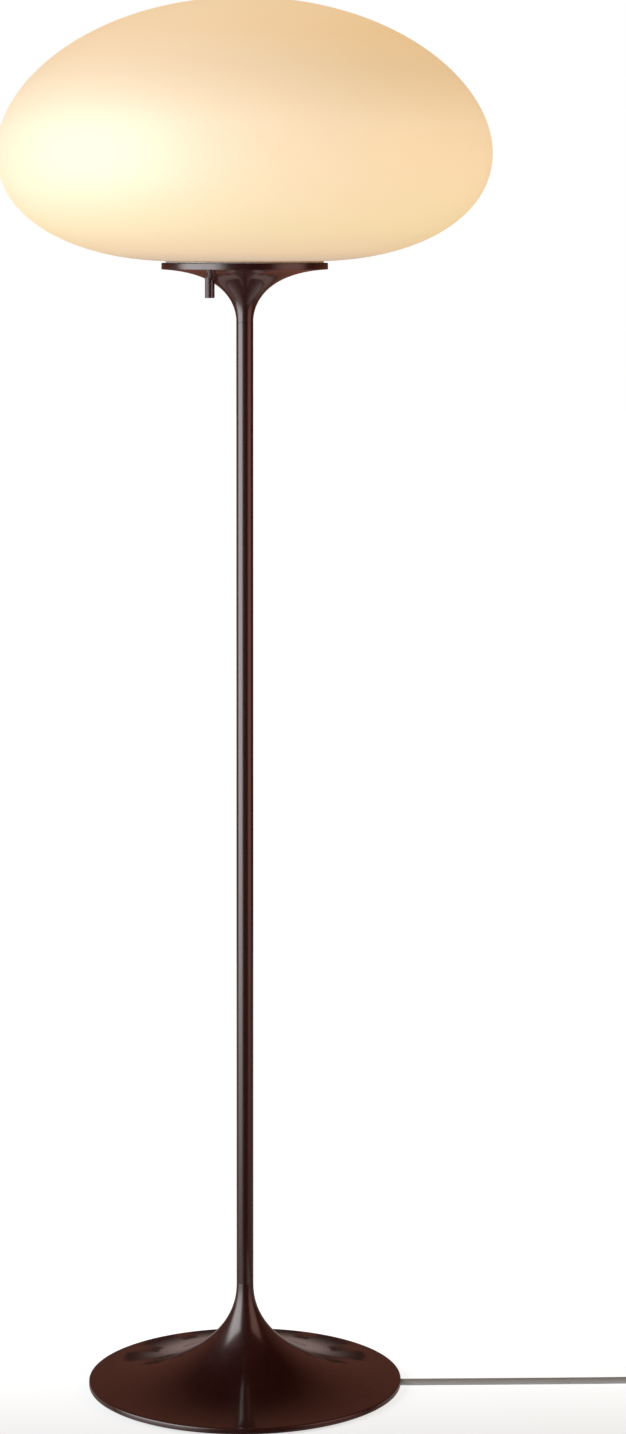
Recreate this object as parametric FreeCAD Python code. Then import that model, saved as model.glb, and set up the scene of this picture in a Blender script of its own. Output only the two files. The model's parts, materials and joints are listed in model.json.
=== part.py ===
import FreeCAD
import Part
import math
import os

# Mushroom floor lamp, in millimetres. +Z is up, and the origin is on the floor under the stem's axis.
# Right of the lamp, where the cord leaves, is +X. The front is -Y.

V = FreeCAD.Vector

# ---------------------------------------------------------------- driving dimensions

BASE_R = 120.0            # outer radius of the base's rim
FOOT_LIFT = 2.0           # gap between the floor and the rim
RIM_TOP = 6.0             # height of the base's surface at the rim
RIM_ROUND = 1.0           # rounding between that surface and the rim's face
BASE_SEAM = 78.6          # where the base's neck meets the stem
STEM_R = 6.55             # outer radius of the stem and of both necks
STEM_TOP = 819.0          # where the stem meets the upper trumpet
PLATE_R = 64.0
PLATE_BOTTOM = 859.5
PLATE_TOP = 864.6
SHADE_R = 190.2           # widest radius of the glass
SHADE_WIDEST = 948.3      # height of that widest ring
SHADE_TOP = 1068.1
GLASS = 3.5               # thickness of the glass

FIT = 0.02                # radial clearance between a thread or pin and its hole
THREAD_R = 5.0            # M10 x 1 hollow rod
BORE_R = THREAD_R + FIT
ROD_BORE_R = 3.5          # passage for the cable through the rods

KNOB_R = 3.75
KNOB_REACH = 28.5         # distance of the knob's axis from the stem's axis
KNOB_ANGLE = 200.0        # degrees from +X
KNOB_BOTTOM = 837.7
KNOB_TOP = 854.3
KNOB_FLUTES = 16

CORD_D = 5.0
CORD_R = CORD_D / 2
CORD_Y = -5.3             # the cord leaves the base a little in front of its middle
CORD_START_X = 117.0

FOOT_TOP = 3.0            # underside of the weight, on the foot ring
COVER_R = 80.0
COVER_BOTTOM = 1.5

KNOB_X = KNOB_REACH * math.cos(math.radians(KNOB_ANGLE))
KNOB_Y = KNOB_REACH * math.sin(math.radians(KNOB_ANGLE))

# ---------------------------------------------------------------- shape helpers


def line(end):
    """A straight side of a lathe section."""
    return ("line", end)


def curve(first_handle, second_handle, end):
    """A cubic side of a lathe section."""
    return ("curve", first_handle, second_handle, end)


def arcs(first_handle, second_handle, end):
    """The same side as a chain of tangent arcs, which meshes with fewer triangles."""
    return ("arcs", first_handle, second_handle, end)


def arc(through, end):
    """A round side of a lathe section."""
    return ("arc", through, end)


def lathe(start, *sides, centre=(0.0, 0.0)):
    """Solid turned about an upright axis: start and sides give its (radius, height) section."""
    def at(point):
        return V(point[0], 0, point[1])

    edges = []
    here = start
    closing = [] if sides[-1][-1] == start else [line(start)]
    for side in [*sides, *closing]:
        end = side[-1]
        if side[0] == "line":
            edges.append(Part.LineSegment(at(here), at(end)).toShape())
        elif side[0] == "arc":
            edges.append(Part.Arc(at(here), at(side[1]), at(end)).toShape())
        else:
            bezier = Part.BezierCurve()
            bezier.setPoles([at(here), at(side[1]), at(side[2]), at(end)])
            edges += [bezier.toShape()] if side[0] == "curve" else arc_chain(bezier)
        here = end
    solid = Part.Face(Part.Wire(edges)).revolve(V(0, 0, 0), V(0, 0, 1), 360)
    solid.translate(V(centre[0], centre[1], 0))
    return solid


def tangent_arc(start, handle, end):
    """Arc from start to end whose end tangents meet at handle."""
    chord_middle = (start + end) * 0.5
    outward = handle - chord_middle
    half_chord = (end - start).Length / 2
    bend = math.atan2(outward.Length, half_chord)
    outward.normalize()
    return Part.Arc(start, chord_middle + outward * (half_chord * math.tan(bend / 2)), end).toShape()


def two_arcs(start, start_direction, end, end_direction):
    """Pair of tangent arcs between two points with given directions."""
    across = end - start
    both = start_direction + end_direction
    spread = 2 * (1 - start_direction.dot(end_direction))
    product = across.dot(both)
    reach = (math.sqrt(product ** 2 + spread * across.dot(across)) - product) / spread
    first_handle = start + start_direction * reach
    second_handle = end - end_direction * reach
    joint = (first_handle + second_handle) * 0.5
    return [tangent_arc(start, first_handle, joint), tangent_arc(joint, second_handle, end)]


ARC_PAIRS = 4             # pairs of arcs that one cubic side becomes


def arc_chain(bezier):
    """Tangent arcs that follow a cubic curve."""
    edges = []
    for index in range(ARC_PAIRS):
        start = index / ARC_PAIRS
        end = (index + 1) / ARC_PAIRS
        edges += two_arcs(bezier.value(start), bezier.tangent(start)[0],
                          bezier.value(end), bezier.tangent(end)[0])
    return edges


def ring(inner_r, outer_r, bottom, top, centre=(0.0, 0.0)):
    """Plain tube or washer."""
    return lathe((inner_r, bottom), line((outer_r, bottom)), line((outer_r, top)), line((inner_r, top)),
                 centre=centre)


def disc(radius, bottom, top, centre=(0.0, 0.0)):
    """Plain round bar."""
    return Part.makeCylinder(radius, top - bottom, V(centre[0], centre[1], bottom))


def block(low, high):
    """Box between two corners."""
    return Part.makeBox(high[0] - low[0], high[1] - low[1], high[2] - low[2], V(*low))


def bar_along_x(radius, low_x, high_x, y, z):
    """Round bar along X."""
    return Part.makeCylinder(radius, high_x - low_x, V(low_x, y, z), V(1, 0, 0))


def around(radius, angle_deg):
    """Point on a circle about the stem's axis."""
    angle = math.radians(angle_deg)
    return (radius * math.cos(angle), radius * math.sin(angle))


def hex_nut(across_flats, bore_r, bottom, top, centre=(0.0, 0.0)):
    """Hexagonal nut with its edges turned down."""
    corner_r = across_flats / 2 / math.cos(math.radians(30))
    corners = []
    for index in range(7):
        x, y = around(corner_r, 60 * index)
        corners.append(V(centre[0] + x, centre[1] + y, bottom))
    prism = Part.Face(Part.makePolygon(corners)).extrude(V(0, 0, top - bottom))
    chamfer = corner_r - across_flats / 2
    turned = lathe((0, bottom), line((corner_r - chamfer, bottom)), line((corner_r, bottom + chamfer)),
                   line((corner_r, top - chamfer)), line((corner_r - chamfer, top)), line((0, top)),
                   centre=centre)
    return prism.common(turned).cut(disc(bore_r, bottom - 1, top + 1, centre))


def together(solids):
    """Group of separate solids for one node."""
    return Part.makeCompound(solids)


# ---------------------------------------------------------------- cords and leads


def rounded_path(points, bend_r=None):
    """Straight runs joined by tangent arcs, and the arcs' radii.

    Each arc is as large as its two runs allow, or bend_r where that is given.
    """
    points = [V(*point) for point in points]
    edges = []
    radii = []
    here = points[0]
    for before, corner, after in zip(points, points[1:], points[2:]):
        incoming = corner - before
        outgoing = after - corner
        half_turn = incoming.getAngle(outgoing) / 2
        setback = 0.45 * min(incoming.Length, outgoing.Length)
        if bend_r is not None:
            setback = bend_r * math.tan(half_turn)
        radius = setback / math.tan(half_turn)
        incoming.normalize()
        outgoing.normalize()
        first = corner - incoming * setback
        last = corner + outgoing * setback
        inward = outgoing - incoming
        inward.normalize()
        middle = corner + inward * (radius / math.cos(half_turn) - radius)
        edges.append(Part.LineSegment(here, first).toShape())
        edges.append(Part.Arc(first, middle, last).toShape())
        radii.append(radius)
        here = last
    edges.append(Part.LineSegment(here, points[-1]).toShape())
    return Part.Wire(edges), radii


def swept_round(path, radius):
    """Round bar along a path."""
    start = path.Edges[0]
    direction = start.tangentAt(start.FirstParameter)
    section = Part.Wire([Part.Circle(start.valueAt(start.FirstParameter), direction, radius).toShape()])
    return path.makePipeShell([section], True, False)


def flexible(name, points, radius, bend_r=None):
    """Cord or lead along its route, with its radii, length and volume printed."""
    path, radii = rounded_path(points, bend_r)
    solid = swept_round(path, radius)
    expected = math.pi * radius ** 2 * path.Length
    print(name, "radii", [round(value, 1) for value in radii], "length", round(path.Length, 1),
          "volume ratio", round(solid.Volume / expected, 4))
    return solid


# ---------------------------------------------------------------- base


def foot_ring():
    """Soft ring that the lamp stands on, with a gap where the cord leaves."""
    solid = ring(84.0, 114.0, 0.0, FOOT_TOP)
    return solid.cut(block((70, CORD_Y - 4, -1), (120, CORD_Y + 4, FOOT_TOP + 1)))


COVER_SCREW_SPOTS = [around(68.0, angle) for angle in (60, 180, 300)]


def countersunk_screw(centre, length, shank_r=2.0, head_r=3.8):
    """Countersunk screw, pointing up, with its slotted head in the cover's underside."""
    x, y = centre
    head_h = COVER_BOTTOM + 1.4
    screw = lathe((0, COVER_BOTTOM + 0.1), line((head_r - 0.4, COVER_BOTTOM + 0.1)), line((shank_r, head_h)),
                  line((shank_r, COVER_BOTTOM + length)), line((0, COVER_BOTTOM + length)), centre=centre)
    return screw.cut(block((x - 5, y - 0.45, 0), (x + 5, y + 0.45, COVER_BOTTOM + 0.7)))


def cover_plate():
    """Thin steel disc that closes the wiring pocket from below."""
    solid = lathe((0, COVER_BOTTOM), line((COVER_R - 0.3, COVER_BOTTOM)), line((COVER_R, COVER_BOTTOM + 0.3)),
                  line((COVER_R, FOOT_TOP)), line((0, FOOT_TOP)))
    for spot in COVER_SCREW_SPOTS:
        sink = lathe((0, COVER_BOTTOM - 1), line((3.85, COVER_BOTTOM - 1)), line((3.85, COVER_BOTTOM)),
                     line((2.1, COVER_BOTTOM + 1.5)), line((2.1, FOOT_TOP + 1)), line((0, FOOT_TOP + 1)),
                     centre=spot)
        solid = solid.cut(sink)
    return solid


def cover_screws():
    return together([countersunk_screw(spot, 9.0) for spot in COVER_SCREW_SPOTS])


# The cable's height and the clamp's place inside the base
CABLE_Z = 8.9
CLAMP_X = (46.0, 58.0)
CLAMP_TOP = 5.6
CLAMP_BOTTOM = 4.4
CLAMP_REACH = 12.0
CLAMP_SCREW_SPOTS = [(52.0, CORD_Y - 8.5), (52.0, CORD_Y + 8.5)]
GROOVE_HALF = 3.35
POCKET_R = 26.0
POCKET_TOP = 26.0


def base_weight():
    """Cast-iron weight, shaped to the shell, with a wiring pocket, a cord groove and a clamp seat."""
    solid = lathe((BORE_R, 60.1), line((8.3, 60.1)), curve((23.6, 20.8), (76.8, 6.8), (118.3, 4.5)),
                  line((118.3, FOOT_TOP)), line((POCKET_R, FOOT_TOP)), line((POCKET_R, POCKET_TOP)),
                  line((14, POCKET_TOP)), line((14, 36)), line((BORE_R, 36)))
    low_y = CORD_Y - GROOVE_HALF
    high_y = CORD_Y + GROOVE_HALF
    solid = solid.cut(block((20, low_y, 0), (84, high_y, CABLE_Z + GROOVE_HALF)))
    solid = solid.cut(block((20, low_y - 1, 0), (CLAMP_X[0] - 6, high_y + 1, CABLE_Z + GROOVE_HALF)))
    solid = solid.cut(block((83, low_y, 0), (120, high_y, CABLE_Z)))
    solid = solid.cut(block((CLAMP_X[0] - 0.5, CORD_Y - CLAMP_REACH - 0.5, 0),
                            (CLAMP_X[1] + 0.5, CORD_Y + CLAMP_REACH + 0.5, CLAMP_TOP)))
    for spot in CLAMP_SCREW_SPOTS:
        solid = solid.cut(disc(1.5 + FIT, 0, 13.5, spot))
    for spot in COVER_SCREW_SPOTS:
        solid = solid.cut(disc(2.0 + FIT, 0, COVER_BOTTOM + 9.5, spot))
    return solid


def base_shell():
    """Spun trumpet cover with its rim, notched where the cord comes out."""
    rim_arc = RIM_ROUND * math.sin(math.radians(45))
    solid = lathe((BORE_R, BASE_SEAM), line((STEM_R, BASE_SEAM)),
                  curve((STEM_R, 34.6), (59.0, 8.8), (BASE_R - RIM_ROUND, RIM_TOP)),
                  arc((BASE_R - RIM_ROUND + rim_arc, RIM_TOP - RIM_ROUND + rim_arc),
                      (BASE_R, RIM_TOP - RIM_ROUND)),
                  line((BASE_R, FOOT_LIFT + 0.4)), line((BASE_R - 0.4, FOOT_LIFT)), line((118.6, FOOT_LIFT)),
                  line((118.6, 4.8)), curve((76.6, 7.1), (23.2, 21.3), (8.4, 60.8)), line((BORE_R, 60.8)))
    notch_r = CORD_R + 0.3
    notch_z = CORD_R - 0.1
    solid = solid.cut(bar_along_x(notch_r, 106, 122, CORD_Y, notch_z))
    return solid.cut(block((106, CORD_Y - notch_r, 0), (122, CORD_Y + notch_r, notch_z)))


def cord_relief():
    """Tapered rubber sleeve round the cord, held by the clamp inside the base."""
    held_r = 3.25
    bend_x = 60
    sleeve = Part.makeCone(held_r, 2.75, 26, V(bend_x, CORD_Y, CABLE_Z), V(1, 0, 0))
    held = bar_along_x(held_r, 44, bend_x, CORD_Y, CABLE_Z)
    slope = (CABLE_Z - CORD_R) / 44
    sleeve.rotate(V(bend_x, CORD_Y, CABLE_Z), V(0, 1, 0), math.degrees(math.atan(slope)))
    core = flexible("relief bore", INNER_CORD_ROUTE[:4], CORD_R + FIT)
    return held.fuse(sleeve).cut(core).removeSplitter()


def cord_clamp():
    """Steel strap that presses the relief up into its groove."""
    strap = block((CLAMP_X[0], CORD_Y - CLAMP_REACH, CLAMP_BOTTOM),
                  (CLAMP_X[1], CORD_Y + CLAMP_REACH, CLAMP_TOP))
    upright = [edge for edge in strap.Edges if abs(edge.Vertexes[0].Z - edge.Vertexes[1].Z) > 1]
    strap = strap.makeFillet(3.0, upright)
    for spot in CLAMP_SCREW_SPOTS:
        strap = strap.cut(disc(1.6, CLAMP_BOTTOM - 1, CLAMP_TOP + 1, spot))
    return strap


def clamp_screws():
    screws = []
    for spot in CLAMP_SCREW_SPOTS:
        head = lathe((0, 3.1), line((2.4, 3.1)), line((2.8, 3.5)), line((2.8, CLAMP_BOTTOM)),
                     line((1.5, CLAMP_BOTTOM)), line((1.5, 13.0)), line((0, 13.0)), centre=spot)
        slot = block((spot[0] - 4, spot[1] - 0.4, 2), (spot[0] + 4, spot[1] + 0.4, 3.7))
        screws.append(head.cut(slot))
    return together(screws)


# ---------------------------------------------------------------- stem and head


def stem_tube():
    """Long thin-walled tube, tapped at both ends."""
    return ring(BORE_R, STEM_R, BASE_SEAM, STEM_TOP)


NECK_SEAT = 838.0         # flat inside the upper trumpet that its nut bears on
FLARE_THROAT_R = 10.9


def head_flare():
    """Upper trumpet: a solid neck, then a thin wall that opens out under the plate."""
    outside = lathe((0, STEM_TOP), line((STEM_R, STEM_TOP)),
                    curve((STEM_R, 829.4), (12.2, 856.5), (63.1, PLATE_BOTTOM)), line((0, PLATE_BOTTOM)))
    hollow = lathe((0, NECK_SEAT), line((FLARE_THROAT_R, NECK_SEAT)), line((12.0, 839.8)),
                   curve((23.0, 854.6), (42.6, 859.4), (60.7, 860.8)), line((0, 860.8)))
    solid = outside.cut(hollow).cut(disc(BORE_R, STEM_TOP - 1, NECK_SEAT + 1))
    return solid.cut(disc(KNOB_R + 0.35, KNOB_BOTTOM, PLATE_BOTTOM, (KNOB_X, KNOB_Y)))


BUSH_R = 3.5
CUP_SCREW_SPOTS = [around(48.5, angle) for angle in (0, 120, 240)]


def holder_plate():
    """Flat round plate that carries the glass."""
    edge = 0.6
    cut = edge * (1 - math.sin(math.radians(45)))
    solid = lathe((BORE_R, PLATE_BOTTOM), line((PLATE_R - edge, PLATE_BOTTOM)),
                  arc((PLATE_R - cut, PLATE_BOTTOM + cut), (PLATE_R, PLATE_BOTTOM + edge)),
                  line((PLATE_R, PLATE_TOP - edge)),
                  arc((PLATE_R - cut, PLATE_TOP - cut), (PLATE_R - edge, PLATE_TOP)),
                  line((BORE_R, PLATE_TOP)))
    solid = solid.cut(disc(BUSH_R + 0.05, 850, 870, (KNOB_X, KNOB_Y)))
    for spot in CUP_SCREW_SPOTS:
        solid = solid.cut(disc(1.5 + FIT, 850, 870, spot))
    return solid


NECK_R = 57.5             # inside radius of the glass's opening
SEAT = 865.2              # where the glass rests on its gasket


def shade_gasket():
    """Soft ring under the glass, with a lip that centres it."""
    return lathe((56.5, PLATE_TOP), line((60.4, PLATE_TOP)), line((60.4, SEAT)), line((57.1, SEAT)),
                 line((57.1, 867.6)), line((56.5, 867.6)))


# The glass is one blown piece. It is cut into abutting rings, each simple enough for close collision shapes.
NECK_RING_R = 76.0
FLOOR_RING_R = 142.0
CROWN_RING_R = 96.0


def whole_glass():
    """Blown opal glass with a small ground neck."""
    inner_r = SHADE_R - GLASS
    inner_top = SHADE_TOP - GLASS
    crown = 0.588         # handle lengths of the crown's quarter curve, as parts of its radius and height
    shoulder = 0.478
    rise = SHADE_TOP - SHADE_WIDEST
    inner_rise = inner_top - SHADE_WIDEST
    return lathe((NECK_R, SEAT), line((60.8, SEAT)), line((61.2, 865.9)),
                 arcs((135.5, 868.0), (SHADE_R, 900.4), (SHADE_R, SHADE_WIDEST)),
                 arcs((SHADE_R, SHADE_WIDEST + shoulder * rise), (crown * SHADE_R, SHADE_TOP),
                      (0, SHADE_TOP)),
                 line((0, inner_top)),
                 arcs((crown * inner_r, inner_top), (inner_r, SHADE_WIDEST + shoulder * inner_rise),
                      (inner_r, SHADE_WIDEST)),
                 arcs((inner_r, 902.0), (134.5, 871.6), (61.5, 869.4)), line((NECK_R, 867.8)))


def glass_below(inner_r, outer_r):
    """The glass under its widest height, between two radii."""
    return whole_glass().common(ring(inner_r, outer_r, SEAT - 1, SHADE_WIDEST))


def glass_above(inner_r, outer_r):
    """The glass over its widest height, between two radii."""
    return whole_glass().common(ring(inner_r, outer_r, SHADE_WIDEST, SHADE_TOP + 1))


CUP_TOP = 896.0


def lamp_cup():
    """Steel can under the lampholder that covers the wiring, with a screwed flange and vents."""
    solid = lathe((BORE_R, CUP_TOP - 1), line((41.0, CUP_TOP - 1)),
                  arc((42.4, CUP_TOP - 1.6), (43.0, CUP_TOP - 3)), line((43.0, PLATE_TOP)),
                  line((52.0, PLATE_TOP)), line((52.0, PLATE_TOP + 1.2)),
                  line((44.0, PLATE_TOP + 1.2)), line((44.0, CUP_TOP - 3)),
                  arc((43.1, CUP_TOP - 0.9), (41.0, CUP_TOP)), line((BORE_R, CUP_TOP)))
    for spot in CUP_SCREW_SPOTS:
        solid = solid.cut(disc(1.6, 860, 870, spot))
    for index in range(12):
        solid = solid.cut(disc(3.0, CUP_TOP - 4, CUP_TOP + 1, around(33.0, 30 * index + 15)))
    return solid


def cup_screws():
    screws = []
    seat = PLATE_TOP + 1.2
    for x, y in CUP_SCREW_SPOTS:
        screw = lathe((0, 860.0), line((1.5, 860.0)), line((1.5, seat)), line((2.75, seat)),
                      line((2.75, seat + 1.0)), line((1.9, seat + 1.7)), line((0, seat + 1.7)), centre=(x, y))
        for half_x, half_y in ((1.6, 0.35), (0.35, 1.6)):
            screw = screw.cut(block((x - half_x, y - half_y, seat + 0.7), (x + half_x, y + half_y, seat + 3)))
        screws.append(screw)
    return together(screws)


def shade_springs():
    """Three bent strips on the can's flange that steady the glass's neck."""
    seat = PLATE_TOP + 1.2
    outline = [(44.6, seat), (53.2, seat), (57.0, seat + 6.4), (54.6, seat + 13.0), (54.2, seat + 12.9),
               (56.5, seat + 6.5), (52.9, seat + 0.4), (44.6, seat + 0.4)]
    springs = []
    for angle in (60, 180, 300):
        corners = [V(radius, -4, height) for radius, height in [*outline, outline[0]]]
        strip = Part.Face(Part.makePolygon(corners)).extrude(V(0, 8, 0))
        strip.rotate(V(0, 0, 0), V(0, 0, 1), angle)
        springs.append(strip)
    return together(springs)


# ---------------------------------------------------------------- dimmer

DIMMER_SPOT = (KNOB_X, KNOB_Y)
SHAFT_R = 2.0
BUSH_BOTTOM = 855.8


def dimmer_body():
    """Rotary dimmer that stands on the plate, with its threaded bush through it."""
    solid = lathe((SHAFT_R + 0.05, BUSH_BOTTOM), line((BUSH_R, BUSH_BOTTOM)), line((BUSH_R, PLATE_TOP)),
                  line((11.5, PLATE_TOP)), line((12.0, PLATE_TOP + 0.5)), line((12.0, 879.0)),
                  line((11.0, 880.0)), line((0, 880.0)), line((0, 871.5)), line((SHAFT_R + 0.05, 871.5)),
                  centre=DIMMER_SPOT)
    return solid


def dimmer_shaft():
    """Round shaft from the dimmer down into the knob, with a flat where the knob grips it."""
    shaft = disc(SHAFT_R, 846.0, 871.0, DIMMER_SPOT)
    flat = block((KNOB_X + 1.4, KNOB_Y - 3, 845), (KNOB_X + 3, KNOB_Y + 3, KNOB_TOP))
    return shaft.cut(flat)


def dimmer_knob():
    """Slim fluted peg with a blind D-shaped hole in its top."""
    solid = lathe((0, KNOB_BOTTOM), line((KNOB_R - 0.5, KNOB_BOTTOM)),
                  arc((KNOB_R - 0.15, KNOB_BOTTOM + 0.15), (KNOB_R, KNOB_BOTTOM + 0.5)),
                  line((KNOB_R, KNOB_TOP)), line((0, KNOB_TOP)), centre=DIMMER_SPOT)
    for index in range(KNOB_FLUTES):
        x, y = around(KNOB_R + 0.12, 360 / KNOB_FLUTES * (index + 0.5))
        solid = solid.cut(disc(0.35, KNOB_BOTTOM - 1, KNOB_TOP + 1, (KNOB_X + x, KNOB_Y + y)))
    hole = disc(SHAFT_R + FIT, 845.5, KNOB_TOP + 1, DIMMER_SPOT)
    flat = block((KNOB_X + 1.4 + FIT, KNOB_Y - 3, 845), (KNOB_X + 3, KNOB_Y + 3, KNOB_TOP + 2))
    return solid.cut(hole.cut(flat))


# ---------------------------------------------------------------- wiring

INNER_CORD_END = 875.0
INNER_CORD_ROUTE = [(CORD_START_X, CORD_Y, CORD_R), (106, CORD_Y, CORD_R), (62, CORD_Y, CABLE_Z),
                    (34, CORD_Y, CABLE_Z), (0, 0, 10.0), (0, 0, INNER_CORD_END)]


def inner_cord():
    """The cord's part inside the lamp: through the base, up the stem and into the can."""
    return flexible("inner cord", INNER_CORD_ROUTE, CORD_R)


def terminal_block():
    """Two-way terminal block on the plate, with a screw hole and a wire hole for each way."""
    solid = block((19, -9, PLATE_TOP), (31, 9, 876))
    solid = solid.makeFillet(0.8, [edge for edge in solid.Edges if edge.BoundBox.ZMin > 875])
    for y in (-4.5, 4.5):
        solid = solid.cut(bar_along_x(1.7, 18, 32, y, 869.5))
    return solid


def head_leads():
    """Six insulated leads: cord to block, block to lampholder, block to dimmer."""
    lead_r = 0.9
    bend_r = 2.5
    routes = []
    for side in (-1, 1):
        routes.append([(0, side * 1.25, INNER_CORD_END), (0, side * 1.25, 882), (22, side * 4.5, 882),
                       (22, side * 4.5, 876)])
        routes.append([(28, side * 4.5, 876), (28, side * 4.5, 886), (0, side * 1.25, 886),
                       (0, side * 1.25, 912)])
    routes.append([(25, -7.5, 876), (25, -7.5, 883.5), (-24, -9.5, 883.5), (-24, -9.5, 880)])
    routes.append([(29.5, -7.5, 876), (29.5, -7.5, 887.5), (-30, -12.5, 887.5), (-30, -12.5, 880)])
    return together([flexible("lead", route, lead_r, bend_r) for route in routes])


# ---------------------------------------------------------------- lampholder and bulb


def socket_base():
    """Lower half of the lampholder, screwed on the short rod."""
    return lathe((BORE_R, 900.0), line((8.5, 900.0)), curve((13.5, 900.6), (19.0, 904.0), (20.0, 910.0)),
                 line((20.0, 922.0)), line((17.6, 922.0)), line((17.6, 911.0)),
                 curve((16.5, 908.0), (12.0, 906.0), (8.5, 906.0)), line((BORE_R, 906.0)))


def socket_core():
    """Ceramic body that carries the contacts."""
    solid = lathe((0, 912.0), line((16.8, 912.0)), line((17.3, 912.5)), line((17.3, 921.5)),
                  line((16.8, 922.0)), line((0, 922.0)))
    for y in (-11, 11):
        solid = solid.cut(disc(2.4, 917, 923, (0, y)))
    return solid


def socket_thread():
    """Screw shell of the lampholder, with its inward foot on the core."""
    return lathe((11.0, 922.0), line((14.0, 922.0)), line((14.0, 950.0)), line((13.6, 950.0)),
                 line((13.6, 922.4)), line((11.0, 922.4)))


def socket_contact():
    """Springy centre contact."""
    outline = [(-9, 922.0), (-6.5, 922.0), (-2, 927.1), (2, 927.1), (6.5, 922.0), (9, 922.0), (9, 922.5),
               (6.7, 922.5), (2.2, 927.6), (-2.2, 927.6), (-6.7, 922.5), (-9, 922.5)]
    corners = [V(x, -2.5, z) for x, z in [*outline, outline[0]]]
    return Part.Face(Part.makePolygon(corners)).extrude(V(0, 5, 0))


def socket_shell():
    """Upper half of the lampholder, round the screw shell."""
    return lathe((17.4, 922.0), line((20.0, 922.0)), line((20.0, 954.5)), arc((19.3, 956.3), (17.5, 957.0)),
                 line((14.7, 957.0)), line((14.7, 952.0)), line((17.4, 950.0)))


def bulb_contact():
    """Centre pip of the bulb's cap."""
    return lathe((0, 928.0), line((3.5, 928.0)), line((4.8, 929.2)), line((4.8, 931.0)), line((0, 931.0)))


def bulb_insulator():
    """Dark glass between the pip and the cap."""
    return lathe((0, 931.0), line((4.8, 931.0)), line((4.8, 929.6)), line((11.4, 932.6)), line((11.4, 934.0)),
                 line((0, 934.0)))


def bulb_cap():
    """Screw cap with rolled threads."""
    pitch = 3.6
    crest = 13.2
    root = 12.55
    bottom = 934.0
    height = bottom + 0.8
    sides = [line((12.4, bottom)), line((root, height))]
    for _ in range(4):
        sides.append(curve((root, height + 0.9), (crest, height + 0.9), (crest, height + pitch / 2)))
        sides.append(curve((crest, height + 2.7), (root, height + 2.7), (root, height + pitch)))
        height += pitch
    sides.append(line((root, 950.5)))
    sides.append(line((crest, 951.5)))
    sides.append(line((crest, 953.0)))
    sides.append(line((12.05, 953.0)))
    return lathe((12.05, bottom), *sides)


def bulb_collar():
    """Moulded body between cap and globe."""
    return lathe((0, 934.0), line((12.0, 934.0)), line((12.0, 953.0)), line((13.4, 953.0)),
                 line((13.6, 958.5)), curve((14.2, 968.0), (23.0, 979.0), (26.0, 990.0)), line((0, 990.0)))


BULB_TOP = 1035.0
GLOBE_R = 30.0


def bulb_globe():
    """Frosted globe of the bulb."""
    centre = BULB_TOP - GLOBE_R
    wall = 1.2
    low = 990.0
    inner_r = GLOBE_R - wall
    outer_low = math.sqrt(GLOBE_R ** 2 - (centre - low) ** 2)
    inner_low = math.sqrt(inner_r ** 2 - (centre - low) ** 2)
    return lathe((inner_low, low), line((outer_low, low)), arc((GLOBE_R, centre), (0, BULB_TOP)),
                 line((0, BULB_TOP - wall)), arc((inner_r, centre), (inner_low, low)))


# ---------------------------------------------------------------- free cord

# Straight along the floor to the right, then up onto the tie's strap, under the coil
COIL_X = 348.0
COIL_PITCH = 5.6          # from turn to turn, and from layer to layer
LAYER_TURNS = 2.5
LAYERS = 4
COIL_TURNS = 10.25
COIL_OUTER_R = 34.5
COIL_END_R = COIL_OUTER_R + COIL_PITCH * (COIL_TURNS - LAYERS * LAYER_TURNS)
COIL_Y = CORD_Y + COIL_OUTER_R
COIL_BOTTOM = 3.8         # height of the lowest layer's centre line, over the strap
COIL_TOP = COIL_BOTTOM + (LAYERS - 1) * COIL_PITCH
CORD_ROUTE = [(CORD_START_X, CORD_Y, CORD_R), (300, CORD_Y, CORD_R), (325, CORD_Y, COIL_BOTTOM),
              (COIL_X - CORD_D, CORD_Y, COIL_BOTTOM)]
PLUG_Z = 6.85
TAIL_X = COIL_X + COIL_END_R
TAIL_START_Y = COIL_Y + CORD_D
TAIL_END_Y = 110.0
TAIL_ROUTE = [(TAIL_X, TAIL_START_Y, COIL_TOP), (TAIL_X, 50, COIL_TOP), (TAIL_X, 73, 12.6),
              (TAIL_X, 97, PLUG_Z), (TAIL_X, TAIL_END_Y, PLUG_Z)]


def cord_run():
    return flexible("cord run", CORD_ROUTE, CORD_R)


def cord_tail():
    return flexible("cord tail", TAIL_ROUTE, CORD_R)


def coil_radius(turn):
    """The turns spiral in and out again at a steady rate, and the last part-turn goes on outwards."""
    if turn > LAYERS * LAYER_TURNS:
        return COIL_OUTER_R + COIL_PITCH * (turn - LAYERS * LAYER_TURNS)
    phase = turn % (2 * LAYER_TURNS)
    inward = min(phase, 2 * LAYER_TURNS - phase)
    return COIL_OUTER_R - COIL_PITCH * inward


def coil_height(turn):
    """Each layer is left in the half turn where the spiral reverses."""
    height = COIL_BOTTOM
    for layer in range(1, LAYERS):
        along = min(1.0, max(0.0, (turn - layer * LAYER_TURNS + 0.25) / 0.5))
        height += COIL_PITCH * along * along * (3 - 2 * along)
    return height


def coil_point(turn):
    angle = math.radians(360 * turn - 90)
    radius = coil_radius(turn)
    return V(COIL_X + radius * math.cos(angle), COIL_Y + radius * math.sin(angle), coil_height(turn))


def coil_direction(turn):
    """Direction of the cord, taken evenly about the point, so that a reversal has the mean one."""
    step = 0.01
    if turn == 0:
        return V(1, 0, 0)
    if turn == COIL_TURNS:
        return V(0, 1, 0)
    direction = coil_point(turn + step) - coil_point(turn - step)
    direction.normalize()
    return direction


def least_gap(path):
    """Least clear distance between neighbouring turns, measured on points along the path."""
    points = path.discretize(Distance=2.0)
    skip = int(0.5 * math.pi * COIL_OUTER_R)
    nearest = min((point - other).Length for index, point in enumerate(points)
                  for other in points[index + skip:])
    return nearest - CORD_D


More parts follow.
